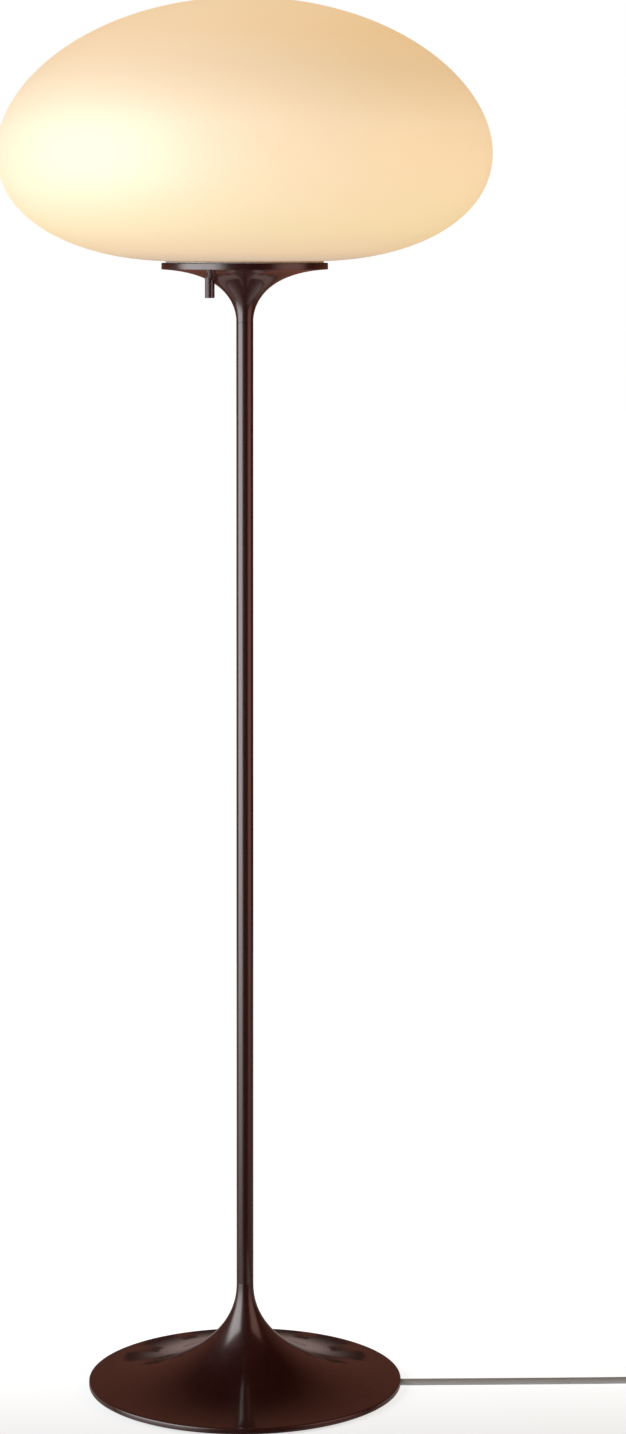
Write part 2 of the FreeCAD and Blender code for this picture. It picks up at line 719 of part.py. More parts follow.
def cord_coil():
    """The unseen length, wound into a neat coil of four layers."""
    quarters = int(round(COIL_TURNS * 4))
    edges = [Part.LineSegment(V(*CORD_ROUTE[-1]), coil_point(0)).toShape()]
    for quarter in range(quarters):
        start = quarter / 4
        end = start + 0.25
        edges += two_arcs(coil_point(start), coil_direction(start), coil_point(end), coil_direction(end))
    edges.append(Part.LineSegment(coil_point(COIL_TURNS), V(*TAIL_ROUTE[0])).toShape())
    path = Part.Wire(edges)
    solid = swept_round(path, CORD_R)
    expected = math.pi * CORD_R ** 2 * path.Length
    print("coil length", round(path.Length, 1), "least gap", round(least_gap(path), 2),
          "volume ratio", round(solid.Volume / expected, 4))
    return solid


def cord_tie():
    """Soft strap round all turns at the coil's left side."""
    far = COIL_X - 37.3
    near = COIL_X - 17.2
    strap = 1.1
    height = COIL_TOP + CORD_R + 1.6
    outer = block((far, COIL_Y - 5, 0), (near, COIL_Y + 5, height))
    inner = block((far + strap, COIL_Y - 6, strap), (near - strap, COIL_Y + 6, height - strap))
    outer = outer.makeFillet(2.2, [edge for edge in outer.Edges if edge.BoundBox.YLength > 9])
    inner = inner.makeFillet(1.1, [edge for edge in inner.Edges if edge.BoundBox.YLength > 9])
    return outer.cut(inner)


PLUG_BACK_Y = TAIL_END_Y + 24.0
PLUG_FACE_Y = PLUG_BACK_Y + 35.0
PIN_SPACING = 18.6
PIN_R = 2.0
PIN_LENGTH = 19.0
PIN_ROOT = 8.0            # how deep a pin sits in the body


def plug_relief():
    """Tapered ribbed sleeve behind the plug."""
    solid = Part.makeCone(3.2, 5.2, PLUG_BACK_Y - TAIL_END_Y, V(TAIL_X, TAIL_END_Y, PLUG_Z), V(0, 1, 0))
    for index in range(4):
        groove_y = TAIL_END_Y + 4 + 4.4 * index
        groove = Part.makeCylinder(9, 1.2, V(TAIL_X, groove_y, PLUG_Z), V(0, 1, 0))
        core_r = 2.6 + 0.35 * index
        core = Part.makeCylinder(core_r, 1.2, V(TAIL_X, groove_y, PLUG_Z), V(0, 1, 0))
        solid = solid.cut(groove.cut(core))
    return solid


def plug_body():
    """Flat two-pin plug body that narrows towards its cord."""
    half_back = 6.0
    half_face = 17.65
    corners = [(-half_back, PLUG_BACK_Y), (half_back, PLUG_BACK_Y), (half_face, PLUG_BACK_Y + 21),
               (half_face, PLUG_FACE_Y), (-half_face, PLUG_FACE_Y), (-half_face, PLUG_BACK_Y + 21)]
    outline = [V(TAIL_X + x, y, 0) for x, y in [*corners, corners[0]]]
    solid = Part.Face(Part.makePolygon(outline)).extrude(V(0, 0, 2 * PLUG_Z))
    rounded = [edge for edge in solid.Edges if edge.BoundBox.YMin < PLUG_FACE_Y - 0.5]
    solid = solid.makeFillet(2.6, rounded)
    for side in (-1, 1):
        root = V(TAIL_X + side * PIN_SPACING / 2, PLUG_FACE_Y - PIN_ROOT, PLUG_Z)
        solid = solid.cut(Part.makeCylinder(PIN_R, PIN_ROOT + 1, root, V(0, 1, 0)))
    return solid


def plug_pins():
    """Two round-ended contact pins."""
    pins = []
    for side in (-1, 1):
        root = V(TAIL_X + side * PIN_SPACING / 2, PLUG_FACE_Y - PIN_ROOT, PLUG_Z)
        pin = Part.makeCylinder(PIN_R, PIN_LENGTH + PIN_ROOT, root, V(0, 1, 0))
        tip = [edge for edge in pin.Edges if edge.BoundBox.YMin > PLUG_FACE_Y + PIN_LENGTH - 0.5]
        pins.append(pin.makeFillet(1.6, tip))
    return together(pins)


# ---------------------------------------------------------------- all pieces

PARTS = {
    "foot_ring": foot_ring,
    "cover_plate": cover_plate,
    "cover_screws": cover_screws,
    "base_weight": base_weight,
    "base_shell": base_shell,
    "cord_relief": cord_relief,
    "cord_clamp": cord_clamp,
    "clamp_screws": clamp_screws,
    "lower_nipple": lambda: ring(ROD_BORE_R, THREAD_R, 28.0, 98.0),
    "lower_washer": lambda: ring(BORE_R, 11.0, 34.5, 36.0),
    "lower_nut": lambda: hex_nut(14.0, BORE_R, 30.0, 34.5),
    "stem_tube": stem_tube,
    "upper_nipple": lambda: ring(ROD_BORE_R, THREAD_R, 799.0, 873.0),
    "upper_washer": lambda: ring(BORE_R, 9.5, NECK_SEAT, NECK_SEAT + 1.2),
    "upper_nut": lambda: hex_nut(14.0, BORE_R, NECK_SEAT + 1.2, NECK_SEAT + 5.2),
    "head_flare": head_flare,
    "holder_plate": holder_plate,
    "plate_nut": lambda: hex_nut(14.0, BORE_R, PLATE_TOP, PLATE_TOP + 4),
    "shade_gasket": shade_gasket,
    "glass_neck": lambda: glass_below(0, NECK_RING_R),
    "glass_floor": lambda: glass_below(NECK_RING_R, FLOOR_RING_R),
    "glass_bowl": lambda: glass_below(FLOOR_RING_R, SHADE_R + 1),
    "glass_shoulder": lambda: glass_above(CROWN_RING_R, SHADE_R + 1),
    "glass_crown": lambda: glass_above(0, CROWN_RING_R),
    "lamp_cup": lamp_cup,
    "cup_screws": cup_screws,
    "shade_springs": shade_springs,
    "dimmer_body": dimmer_body,
    "dimmer_nut": lambda: hex_nut(10.0, BUSH_R + FIT, PLATE_BOTTOM - 2.3, PLATE_BOTTOM, DIMMER_SPOT),
    "dimmer_shaft": dimmer_shaft,
    "dimmer_knob": dimmer_knob,
    "inner_cord": inner_cord,
    "terminal_block": terminal_block,
    "head_leads": head_leads,
    "holder_nipple": lambda: ring(ROD_BORE_R, THREAD_R, 889.0, 908.0),
    "holder_nuts": lambda: together([hex_nut(14.0, BORE_R, CUP_TOP - 5, CUP_TOP - 1),
                                     hex_nut(14.0, BORE_R, CUP_TOP, CUP_TOP + 4)]),
    "socket_base": socket_base,
    "socket_core": socket_core,
    "socket_thread": socket_thread,
    "socket_contact": socket_contact,
    "socket_shell": socket_shell,
    "bulb_contact": bulb_contact,
    "bulb_insulator": bulb_insulator,
    "bulb_cap": bulb_cap,
    "bulb_collar": bulb_collar,
    "bulb_globe": bulb_globe,
    "cord_run": cord_run,
    "cord_coil": cord_coil,
    "cord_tail": cord_tail,
    "cord_tie": cord_tie,
    "plug_relief": plug_relief,
    "plug_body": plug_body,
    "plug_pins": plug_pins,
}

os.makedirs("parts", exist_ok=True)
for name, make in PARTS.items():
    shape = make()
    if not shape.isValid():
        print("NOT VALID", name)
    shape.exportStep("parts/" + name + ".step")
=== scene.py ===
"""Mushroom floor lamp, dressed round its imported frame. Metres, +Z up; the front is -Y, the cord leaves at +X."""

import json
import logging
import math
from dataclasses import dataclass
from enum import Enum

import bmesh
import bpy
from mathutils import Matrix, Vector
from mathutils.geometry import interpolate_bezier


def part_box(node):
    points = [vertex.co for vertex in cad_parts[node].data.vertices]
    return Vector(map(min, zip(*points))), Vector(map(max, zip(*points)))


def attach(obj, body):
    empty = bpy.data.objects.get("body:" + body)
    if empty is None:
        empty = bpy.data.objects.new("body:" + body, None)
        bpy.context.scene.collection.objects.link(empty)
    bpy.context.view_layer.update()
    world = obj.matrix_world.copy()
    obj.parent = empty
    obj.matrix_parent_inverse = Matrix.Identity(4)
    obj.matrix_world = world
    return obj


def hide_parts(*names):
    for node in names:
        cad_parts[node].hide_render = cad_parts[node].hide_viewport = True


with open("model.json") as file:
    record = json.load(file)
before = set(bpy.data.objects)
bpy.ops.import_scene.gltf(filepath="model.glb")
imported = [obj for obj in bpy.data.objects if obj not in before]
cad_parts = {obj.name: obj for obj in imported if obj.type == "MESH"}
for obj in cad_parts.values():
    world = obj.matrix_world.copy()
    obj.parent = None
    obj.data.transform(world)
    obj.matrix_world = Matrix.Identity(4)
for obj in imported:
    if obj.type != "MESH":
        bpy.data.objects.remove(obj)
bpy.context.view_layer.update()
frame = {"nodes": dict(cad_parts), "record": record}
log = logging.getLogger("lamp")

Colour = tuple[float, float, float]
Spot = tuple[float, float]
Span = tuple[float, float]
GLASS_NODES = ("glass_neck", "glass_floor", "glass_bowl", "glass_shoulder", "glass_crown")
FULL_TURN = 2 * math.pi
SHARP_ANGLE = math.radians(38)
MERGE = 1e-7
CORNER_FACETS = 4
BLOTCH_RANGE = (0.3, 0.7)
CORD_UV = "along"
BORE_R = 0.00502
SEAM_ROUND = 0.00018


class Body(str, Enum):
    """The bodies of the frame."""

    STAND = "stand"
    DIMMER = "dimmer"
    SHADE = "shade"
    BULB = "bulb"


class Slot(str, Enum):
    """The material slots of the record."""

    LACQUER = "painted_metal_brown"
    OPAL = "opal_glass"
    TEXTILE = "cord_textile"
    IRON = "cast_iron"
    PAD = "soft_pad"
    ZINC = "zinc_steel"
    SPRING = "spring_steel"
    SILICONE = "clear_silicone"
    ENAMEL = "white_metal"
    DARK_PLASTIC = "dark_plastic"
    WHITE_PLASTIC = "white_plastic"
    LEADS = "lead_insulation"
    CERAMIC = "ceramic"
    BRASS = "brass"
    CAP = "bulb_steel"
    BLACK_GLASS = "black_glass"
    FROST = "bulb_plastic"
    RUBBER = "dark_rubber"
    STRAP = "tie_fabric"
    PLUG = "plug_plastic"
    PINS = "nickel_pins"


def glass_box() -> tuple[Vector, Vector]:
    """The box round the whole glass, which the frame holds as several rings.

    Returns:
        Its lowest and its highest corner.
    """
    boxes = [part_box(node) for node in GLASS_NODES]
    low = Vector([min(box[0][axis] for box in boxes) for axis in range(3)])
    high = Vector([max(box[1][axis] for box in boxes) for axis in range(3)])
    return low, high


def shaded(colour: Colour, share: float) -> Colour:
    """A colour made darker or lighter by a share."""
    return tuple(part * share for part in colour)


# ---------------------------------------------------------------- finishes


class Shader:
    """Node tree of one material, round its principled shader."""

    def __init__(self, name: str) -> None:
        """Starts a material.

        Args:
            name: The material's name.
        """
        self.material = bpy.data.materials.new(name)
        self.material.use_nodes = True
        self.tree = self.material.node_tree
        self.surface = self.tree.nodes["Principled BSDF"].inputs
        self.place = self.node("TexCoord").outputs["Object"]

    def feed(self, socket: bpy.types.NodeSocket, value: object) -> None:
        """Links a socket to value where that is a socket, or else sets it.

        Args:
            socket: The input to feed.
            value: A socket, number, vector or colour.
        """
        if isinstance(value, bpy.types.NodeSocket):
            self.tree.links.new(value, socket)
        else:
            socket.default_value = value

    def paint(self, name: str, value: object) -> None:
        """Feeds an input of the principled shader, by its name."""
        self.feed(self.surface[name], value)

    def axis(self, name: str) -> bpy.types.NodeSocket:
        """One of the object's own coordinates, by its letter."""
        return self.node("SeparateXYZ", {"Vector": self.place}).outputs[name]

    def node(self, kind: str, inputs: dict[str | int, object] | None = None, **settings: object) -> bpy.types.Node:
        """Adds a node.

        Args:
            kind: The node's type, without its ShaderNode prefix.
            inputs: What feeds its sockets, by name or place.
            **settings: Its properties.

        Returns:
            The node.
        """
        made = self.tree.nodes.new("ShaderNode" + kind)
        for name, value in settings.items():
            setattr(made, name, value)
        for key, value in (inputs or {}).items():
            self.feed(made.inputs[key], value)
        return made

    def noise(self, size: float, detail: float = 2.0, place: object = None) -> bpy.types.NodeSocket:
        """Even noise from 0 to 1.

        Args:
            size: The size of its blotches, in metres.
            detail: How many finer layers it has.
            place: Its coordinates, the object's own if None.

        Returns:
            The noise.
        """
        inputs = {"Vector": place or self.place, "Scale": 1 / size, "Detail": detail}
        return self.node("TexNoise", inputs).outputs["Fac"]

    def between(self, value: bpy.types.NodeSocket, low: float, high: float, first: float = 0.0, last: float = 1.0,
                smooth: bool = False) -> bpy.types.NodeSocket:
        """Maps a value that runs from first to last onto low to high.

        Args:
            value: The value.
            low: What first becomes.
            high: What last becomes.
            first: One end of the value's range.
            last: The other end.
            smooth: Whether it eases in and out.

        Returns:
            The mapped value.
        """
        inputs = {"Value": value, "From Min": first, "From Max": last, "To Min": low, "To Max": high}
        kind = "SMOOTHSTEP" if smooth else "LINEAR"
        return self.node("MapRange", inputs, interpolation_type=kind).outputs["Result"]

    def times(self, first: object, second: object) -> bpy.types.NodeSocket:
        """The product of two values."""
        return self.maths("MULTIPLY", first, second)

    def maths(self, operation: str, first: object, second: object = 0.0) -> bpy.types.NodeSocket:
        """One arithmetic step.

        Args:
            operation: The step's name, such as ADD.
            first: The first value.
            second: The second value.

        Returns:
            The result.
        """
        return self.node("Math", {0: first, 1: second}, operation=operation).outputs["Value"]

    def mixed(self, share: object, first: object, second: object) -> bpy.types.NodeSocket:
        """Mixes two colours.

        Args:
            share: How much of the second one.
            first: A colour or socket.
            second: A colour or socket.

        Returns:
            The mixed colour.
        """
        colours = [value if isinstance(value, bpy.types.NodeSocket) else (*value, 1.0) for value in (first, second)]
        return self.node("Mix", {0: share, 6: colours[0], 7: colours[1]}, data_type="RGBA").outputs[2]

    def mottled(self, colour: Colour, spread: float, size: float) -> bpy.types.NodeSocket:
        """A colour that varies a little over the surface.

        Args:
            colour: Its mean.
            spread: How far it goes to either side, as a share.
            size: The size of the blotches.

        Returns:
            The colour.
        """
        share = self.between(self.noise(size), 0.0, 1.0, *BLOTCH_RANGE)
        return self.mixed(share, shaded(colour, 1 - spread), shaded(colour, 1 + spread))

    def relief(self, height: bpy.types.NodeSocket, depth: float, strength: float = 1.0) -> bpy.types.NodeSocket:
        """Roughens the surface's normal.

        Args:
            height: The relief, from 0 to 1.
            depth: Its real depth.
            strength: How strongly it shows.

        Returns:
            The normal.
        """
        normal = self.node("Bump", {"Height": height, "Distance": depth, "Strength": strength}).outputs["Normal"]
        self.paint("Normal", normal)
        return normal


@dataclass(frozen=True)
class Finish:
    """A surface finish. Its material is made once and then shared."""

    name: str
    colour: Colour
    roughness: float

    def material(self) -> bpy.types.Material:
        """Finds the finish's material, or makes it.

        Returns:
            The material.
        """
        found = bpy.data.materials.get(self.name)
        if found is not None:
            return found
        shader = Shader(self.name)
        shader.paint("Base Color", (*self.colour, 1.0))
        shader.paint("Roughness", self.roughness)
        self.dress(shader)
        return shader.material

    def dress(self, shader: Shader) -> None:
        """Adds the finish's own detail to its shader."""

    def vary(self, shader: Shader, mottle: Span | None, sheen: Span) -> None:
        """Varies the colour and the roughness over the surface.

        Args:
            shader: The shader.
            mottle: How far the colour goes to either side, as a share, and its blotches' size. None keeps it even.
            sheen: How far the roughness goes to either side, and its blotches' size.
        """
        if mottle:
            shader.paint("Base Color", shader.mottled(self.colour, *mottle))
        spread, size = sheen
        shader.paint("Roughness", shader.between(shader.noise(size), self.roughness - spread,
                                                 self.roughness + spread, *BLOTCH_RANGE))


@dataclass(frozen=True)
class Lacquer(Finish):
    """Glossy clear lacquer over brown paint, with a faint orange peel."""

    coat_roughness: float = 0.07
    peel_size: float = 0.0011
    peel_depth: float = 0.000001
    mottle: Span = (0.07, 0.02)
    sheen: Span = (0.03, 0.006)

    def dress(self, shader: Shader) -> None:
        """Adds the clear coat, the peel and the paint's faint mottle.

        Args:
            shader: The shader.
        """
        self.vary(shader, self.mottle, self.sheen)
        shader.paint("Coat Weight", 1.0)
        shader.paint("Coat Roughness", self.coat_roughness)
        shader.paint("Coat Normal", shader.relief(shader.noise(self.peel_size, 1.0), self.peel_depth))


@dataclass(frozen=True)
class OpalGlass(Finish):
    """Satin opal glass, lit from inside: its glow follows its height."""

    glow_heights: tuple[float, ...] = (0.0, 0.04, 0.12, 0.3, 0.5, 0.7, 0.85, 1.0)
    glow_colours: tuple[Colour, ...] = ((0.16, 0.06, 0.0), (0.33, 0.16, 0.0), (0.38, 0.23, 0.015),
                                        (0.46, 0.30, 0.12), (0.55, 0.385, 0.215), (0.565, 0.38, 0.20),
                                        (0.66, 0.43, 0.215), (0.76, 0.53, 0.29))
    satin_size: float = 0.0009
    satin_depth: float = 0.000003
    sheen: Span = (0.03, 0.01)

    def dress(self, shader: Shader) -> None:
        """Adds the glow, the uneven sheen and the satin surface.

        Args:
            shader: The shader.
        """
        low, high = glass_box()
        ramp = shader.node("ValToRGB", {"Fac": shader.between(shader.axis("Z"), 0.0, 1.0, low.z, high.z)})
        stops = ramp.color_ramp.elements
        while len(stops) < len(self.glow_heights):
            stops.new(0.5)
        for stop, place, colour in zip(stops, self.glow_heights, self.glow_colours):
            stop.position = place
            stop.color = (*colour, 1.0)
        shader.paint("Emission Color", ramp.outputs["Color"])
        shader.paint("Emission Strength", 1.0)
        self.vary(shader, None, self.sheen)
        shader.relief(shader.noise(self.satin_size, 1.0), self.satin_depth)


@dataclass(frozen=True)
class Metal(Finish):
    """Bare or plated metal with fine marks of its making."""

    mark_size: float = 0.0004
    mark_depth: float = 0.000004
    mottle: Span = (0.05, 0.003)
    sheen: Span = (0.06, 0.002)

    def dress(self, shader: Shader) -> None:
        """Adds the fine marks and an uneven sheen.

        Args:
            shader: The shader.
        """
        shader.paint("Metallic", 1.0)
        self.vary(shader, self.mottle, self.sheen)
        shader.relief(shader.noise(self.mark_size, 3.0), self.mark_depth)


@dataclass(frozen=True)
class Moulding(Finish):
    """Moulded plastic or rubber with a fine grain."""

    grain_size: float = 0.0005
    grain_depth: float = 0.00001
    gloss: float = 0.0
    mottle: Span = (0.03, 0.004)
    sheen: Span = (0.04, 0.002)

    def dress(self, shader: Shader) -> None:
        """Adds the grain, a slight mottle and any gloss.

        Args:
            shader: The shader.
        """
        self.vary(shader, self.mottle, self.sheen)
        shader.paint("Coat Weight", self.gloss)
        shader.relief(shader.noise(self.grain_size), self.grain_depth)


@dataclass(frozen=True)
class Foam(Finish):
    """Cellular rubber with open pores."""

    pore_size: float = 0.0009
    pore_depth: float = 0.0002
    # how dark the painted shade in the pores is, as a share of the colour
    pore_shade: float = 0.4
    pore_edge: Span = (0.1, 0.4)

    def dress(self, shader: Shader) -> None:
        """Adds the pores, painted darker inside as painted shade.

        Args:
            shader: The shader.
        """
        pores = shader.node("TexVoronoi", {"Vector": shader.place, "Scale": 1 / self.pore_size}).outputs["Distance"]
        share = shader.between(pores, 0.0, 1.0, *self.pore_edge)
        # painted shade: the pores' hollows are mixed towards a darker copy of the foam's colour
        shader.paint("Base Color", shader.mixed(share, shaded(self.colour, self.pore_shade), self.colour))
        shader.relief(pores, self.pore_depth)


@dataclass(frozen=True)
class Glowing(Finish):
    """Frosted bulb plastic that glows."""

    glow: float = 0.0
    light: Colour = (1.0, 0.84, 0.6)
    dimmest: float = 0.55
    frost_size: float = 0.0003
    frost_depth: float = 0.000006

    def dress(self, shader: Shader) -> None:
        """Adds the glow, stronger towards the top, and the frosting.

        Args:
            shader: The shader.
        """
        low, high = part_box("bulb_globe")
        share = shader.between(shader.axis("Z"), self.dimmest, 1.0, low.z, high.z)
        shader.paint("Emission Color", shader.mixed(share, (0.0, 0.0, 0.0), self.light))
        shader.paint("Emission Strength", self.glow)
        shader.relief(shader.noise(self.frost_size), self.frost_depth)


@dataclass(frozen=True)
class Braid(Finish):
    """Braided textile sleeve: strands that cross along the cord, over and under."""

    strands: int = 12
    lay: float = 0.012
    # how dark the painted shade in the braid's valleys is, as a share of the colour
    shadow: float = 0.35
    fibre_size: float = 0.0004
    fibre_shade: Span = (0.75, 1.15)
    crown_edge: Span = (0.1, 0.9)
    fuzz: float = 0.2
    depth: float = 0.00025

    def dress(self, shader: Shader) -> None:
        """Adds the braid on the cord's own UV map, whose U is metres along and V one turn round, with painted shade
        in the valleys between strands.

        Args:
            shader: The shader.
        """
        flat = shader.node("SeparateXYZ", {"Vector": shader.node("UVMap", uv_map=CORD_UV).outputs["UV"]}).outputs
        along = shader.times(flat["X"], self.strands / self.lay)
        around = shader.times(flat["Y"], self.strands)
        leading = shader.maths("ADD", around, along)
        trailing = shader.maths("SUBTRACT", around, along)
        first, second = [shader.maths("ABSOLUTE", shader.maths("SINE", shader.times(phase, math.pi)))
                         for phase in (leading, trailing)]
        grid = shader.node("CombineXYZ", {"X": leading, "Y": trailing}).outputs["Vector"]
        over = shader.node("TexChecker", {"Vector": grid, "Scale": 1.0}).outputs["Fac"]
        under = shader.maths("SUBTRACT", 1.0, over)
        height = shader.maths("ADD", shader.times(first, over), shader.times(second, under))
        fibres = shader.between(shader.noise(self.fibre_size, 3.0), *self.fibre_shade)
        share = shader.between(shader.times(height, fibres), 0.0, 1.0, *self.crown_edge)
        # painted shade: where the braid is low, between strands, the colour goes towards a darker copy; the fibre
        # noise adds random tone
        shader.paint("Base Color", shader.mixed(share, shaded(self.colour, self.shadow), self.colour))
        shader.paint("Sheen Weight", self.fuzz)
        shader.paint("Sheen Roughness", 0.5)
        shader.relief(height, self.depth, 0.8)


@dataclass(frozen=True)
class Strap(Finish):
    """Hook-and-loop strap with a fuzzy woven face."""

    rib: float = 0.0011
    ripple: float = 1.5
    fuzz: float = 0.5
    fibre_size: float = 0.0004
    mottle: Span = (0.25, 0.0008)
    depth: float = 0.0003

    def dress(self, shader: Shader) -> None:
        """Adds the ribs and the fuzz.

        Args:
            shader: The shader.
        """
        inputs = {"Vector": shader.place, "Scale": 1 / (self.rib * FULL_TURN) * 2, "Distortion": self.ripple}
        ribs = shader.node("TexWave", inputs, bands_direction="Y").outputs["Fac"]
        height = shader.maths("ADD", shader.times(ribs, 0.5), shader.noise(self.fibre_size, 4.0))
        shader.paint("Base Color", shader.mottled(self.colour, *self.mottle))
        shader.paint("Sheen Weight", self.fuzz)
        shader.relief(height, self.depth, 0.8)


FINISHES: dict[Slot, Finish] = {
    Slot.LACQUER: Lacquer("brown_lacquer", (0.029, 0.0034, 0.0017), 0.36),
    Slot.OPAL: OpalGlass("opal_glass_lit", (0.60, 0.56, 0.48), 0.5),
    Slot.TEXTILE: Braid("textile_braid", (0.45, 0.44, 0.435), 0.8),
    Slot.IRON: Metal("cast_iron_raw", (0.10, 0.10, 0.105), 0.7, 0.0015, 0.0001),
    Slot.PAD: Foam("foam_pad", (0.045, 0.043, 0.043), 0.85),
    Slot.ZINC: Metal("zinc_plate", (0.60, 0.61, 0.63), 0.32),
    Slot.SPRING: Metal("spring_bright", (0.55, 0.55, 0.56), 0.22),
    Slot.SILICONE: Moulding("milky_silicone", (0.70, 0.69, 0.66), 0.45, gloss=0.2),
    Slot.ENAMEL: Moulding("white_enamel", (0.80, 0.79, 0.76), 0.35, 0.0012, 0.000005, 0.8),
    Slot.DARK_PLASTIC: Moulding("black_moulding", (0.022, 0.022, 0.024), 0.5),
    Slot.WHITE_PLASTIC: Moulding("ivory_moulding", (0.74, 0.72, 0.67), 0.4, gloss=0.3),
    Slot.LEADS: Moulding("lead_sleeve", (0.62, 0.60, 0.57), 0.5),
    Slot.CERAMIC: Moulding("glazed_ceramic", (0.80, 0.78, 0.73), 0.25, 0.002, 0.00002, 1.0),
    Slot.BRASS: Metal("bright_brass", (0.78, 0.56, 0.25), 0.25),
    Slot.CAP: Metal("nickel_cap", (0.66, 0.64, 0.60), 0.24),
    Slot.BLACK_GLASS: Moulding("black_vitrite", (0.01, 0.01, 0.012), 0.15, gloss=0.5),
    Slot.FROST: Glowing("frosted_bulb", (0.85, 0.83, 0.79), 0.55, 2.2),
    Slot.RUBBER: Moulding("soft_rubber", (0.02, 0.02, 0.02), 0.7, 0.0006, 0.00003),
    Slot.STRAP: Strap("hook_and_loop", (0.012, 0.012, 0.013), 0.9),
    Slot.PLUG: Moulding("grey_plug", (0.36, 0.355, 0.35), 0.5, 0.0004, 0.00001),
    Slot.PINS: Metal("nickel_pin", (0.68, 0.66, 0.62), 0.18),
}
DARK_SLEEVE = Moulding("pin_sleeve", (0.03, 0.03, 0.032), 0.5)
DRIVER_CASE = Moulding("driver_case", (0.78, 0.77, 0.74), 0.45, gloss=0.1)


# ---------------------------------------------------------------- mesh making


class Section:
    """Lathe section, drawn from corner to corner as (radius, height)."""

    def __init__(self, radius: float, height: float, rounding: float = 0.0) -> None:
        """Starts the section.

        Args:
            radius: The first corner's radius.
            height: The first corner's height.
            rounding: How far the corner is rounded.
        """
        self.corners: list[tuple[float, float, float]] = [(radius, height, rounding)]

    def to(self, radius: float, height: float, rounding: float = 0.0) -> "Section":
        """Draws a straight side.

        Args:
            radius: The next corner's radius.
            height: The next corner's height.
            rounding: How far the corner is rounded.

        Returns:
            The section.
        """
        self.corners.append((radius, height, rounding))
        return self

    def curve(self, first: Spot, second: Spot, end: Spot, steps: int = 24) -> "Section":
        """Draws a cubic side.

        Args:
            first: The handle at its start.
            second: The handle at its end.
            end: Its end.
            steps: How many stretches it has.

        Returns:
            The section.
        """
        start = self.corners[-1][:2]
        knots = [Vector((radius, 0.0, height)) for radius, height in (start, first, second, end)]
        for point in interpolate_bezier(*knots, steps + 1)[1:]:
            self.corners.append((max(point.x, 0.0), point.z, 0.0))
        return self


def rounded(mesh: bmesh.types.BMesh, parts: list, offset: float, facets: int, affect: str = "VERTICES",
            clamp: bool = False) -> None:
    """Rounds corners or edges.

    Args:
        mesh: The mesh.
        parts: Its vertices or edges to round.
        offset: How far they are rounded.
        facets: How many facets each one gets.
        affect: VERTICES or EDGES.
        clamp: Whether neighbours are kept from overlapping.
    """
    bmesh.ops.bevel(mesh, geom=parts, offset=offset, offset_type="OFFSET", segments=facets, profile=0.5,
                    affect=affect, clamp_overlap=clamp, material=-1)


def spun(mesh: bmesh.types.BMesh, steps: int, angle: float = FULL_TURN, rise: float = 0.0,
         merge: bool = False) -> None:
    """Spins a whole mesh about the upright axis.

    Args:
        mesh: The mesh.
        steps: How many stretches the turn has.
        angle: How far it turns.
        rise: How far each step climbs.
        merge: Whether the last step closes on the first.
    """
    bmesh.ops.spin(mesh, geom=mesh.verts[:] + mesh.edges[:], cent=(0, 0, 0), axis=(0, 0, 1), dvec=(0, 0, rise),
                   angle=angle, steps=steps, use_merge=merge)


def chained(mesh: bmesh.types.BMesh, points: list, closed: bool = False) -> list[bmesh.types.BMEdge]:
    """Joins points by edges, one to the next.

    Args:
        mesh: The mesh.
        points: Its vertices, in order.
        closed: Whether the last one joins the first.

    Returns:
        The edges.
    """
    return [mesh.edges.new(pair) for pair in zip(points, points[1:] + points[:1] if closed else points[1:])]


def only(parts: list, kind: type) -> list:
    """Those of a mesh's parts that are of one kind."""
    return [part for part in parts if isinstance(part, kind)]


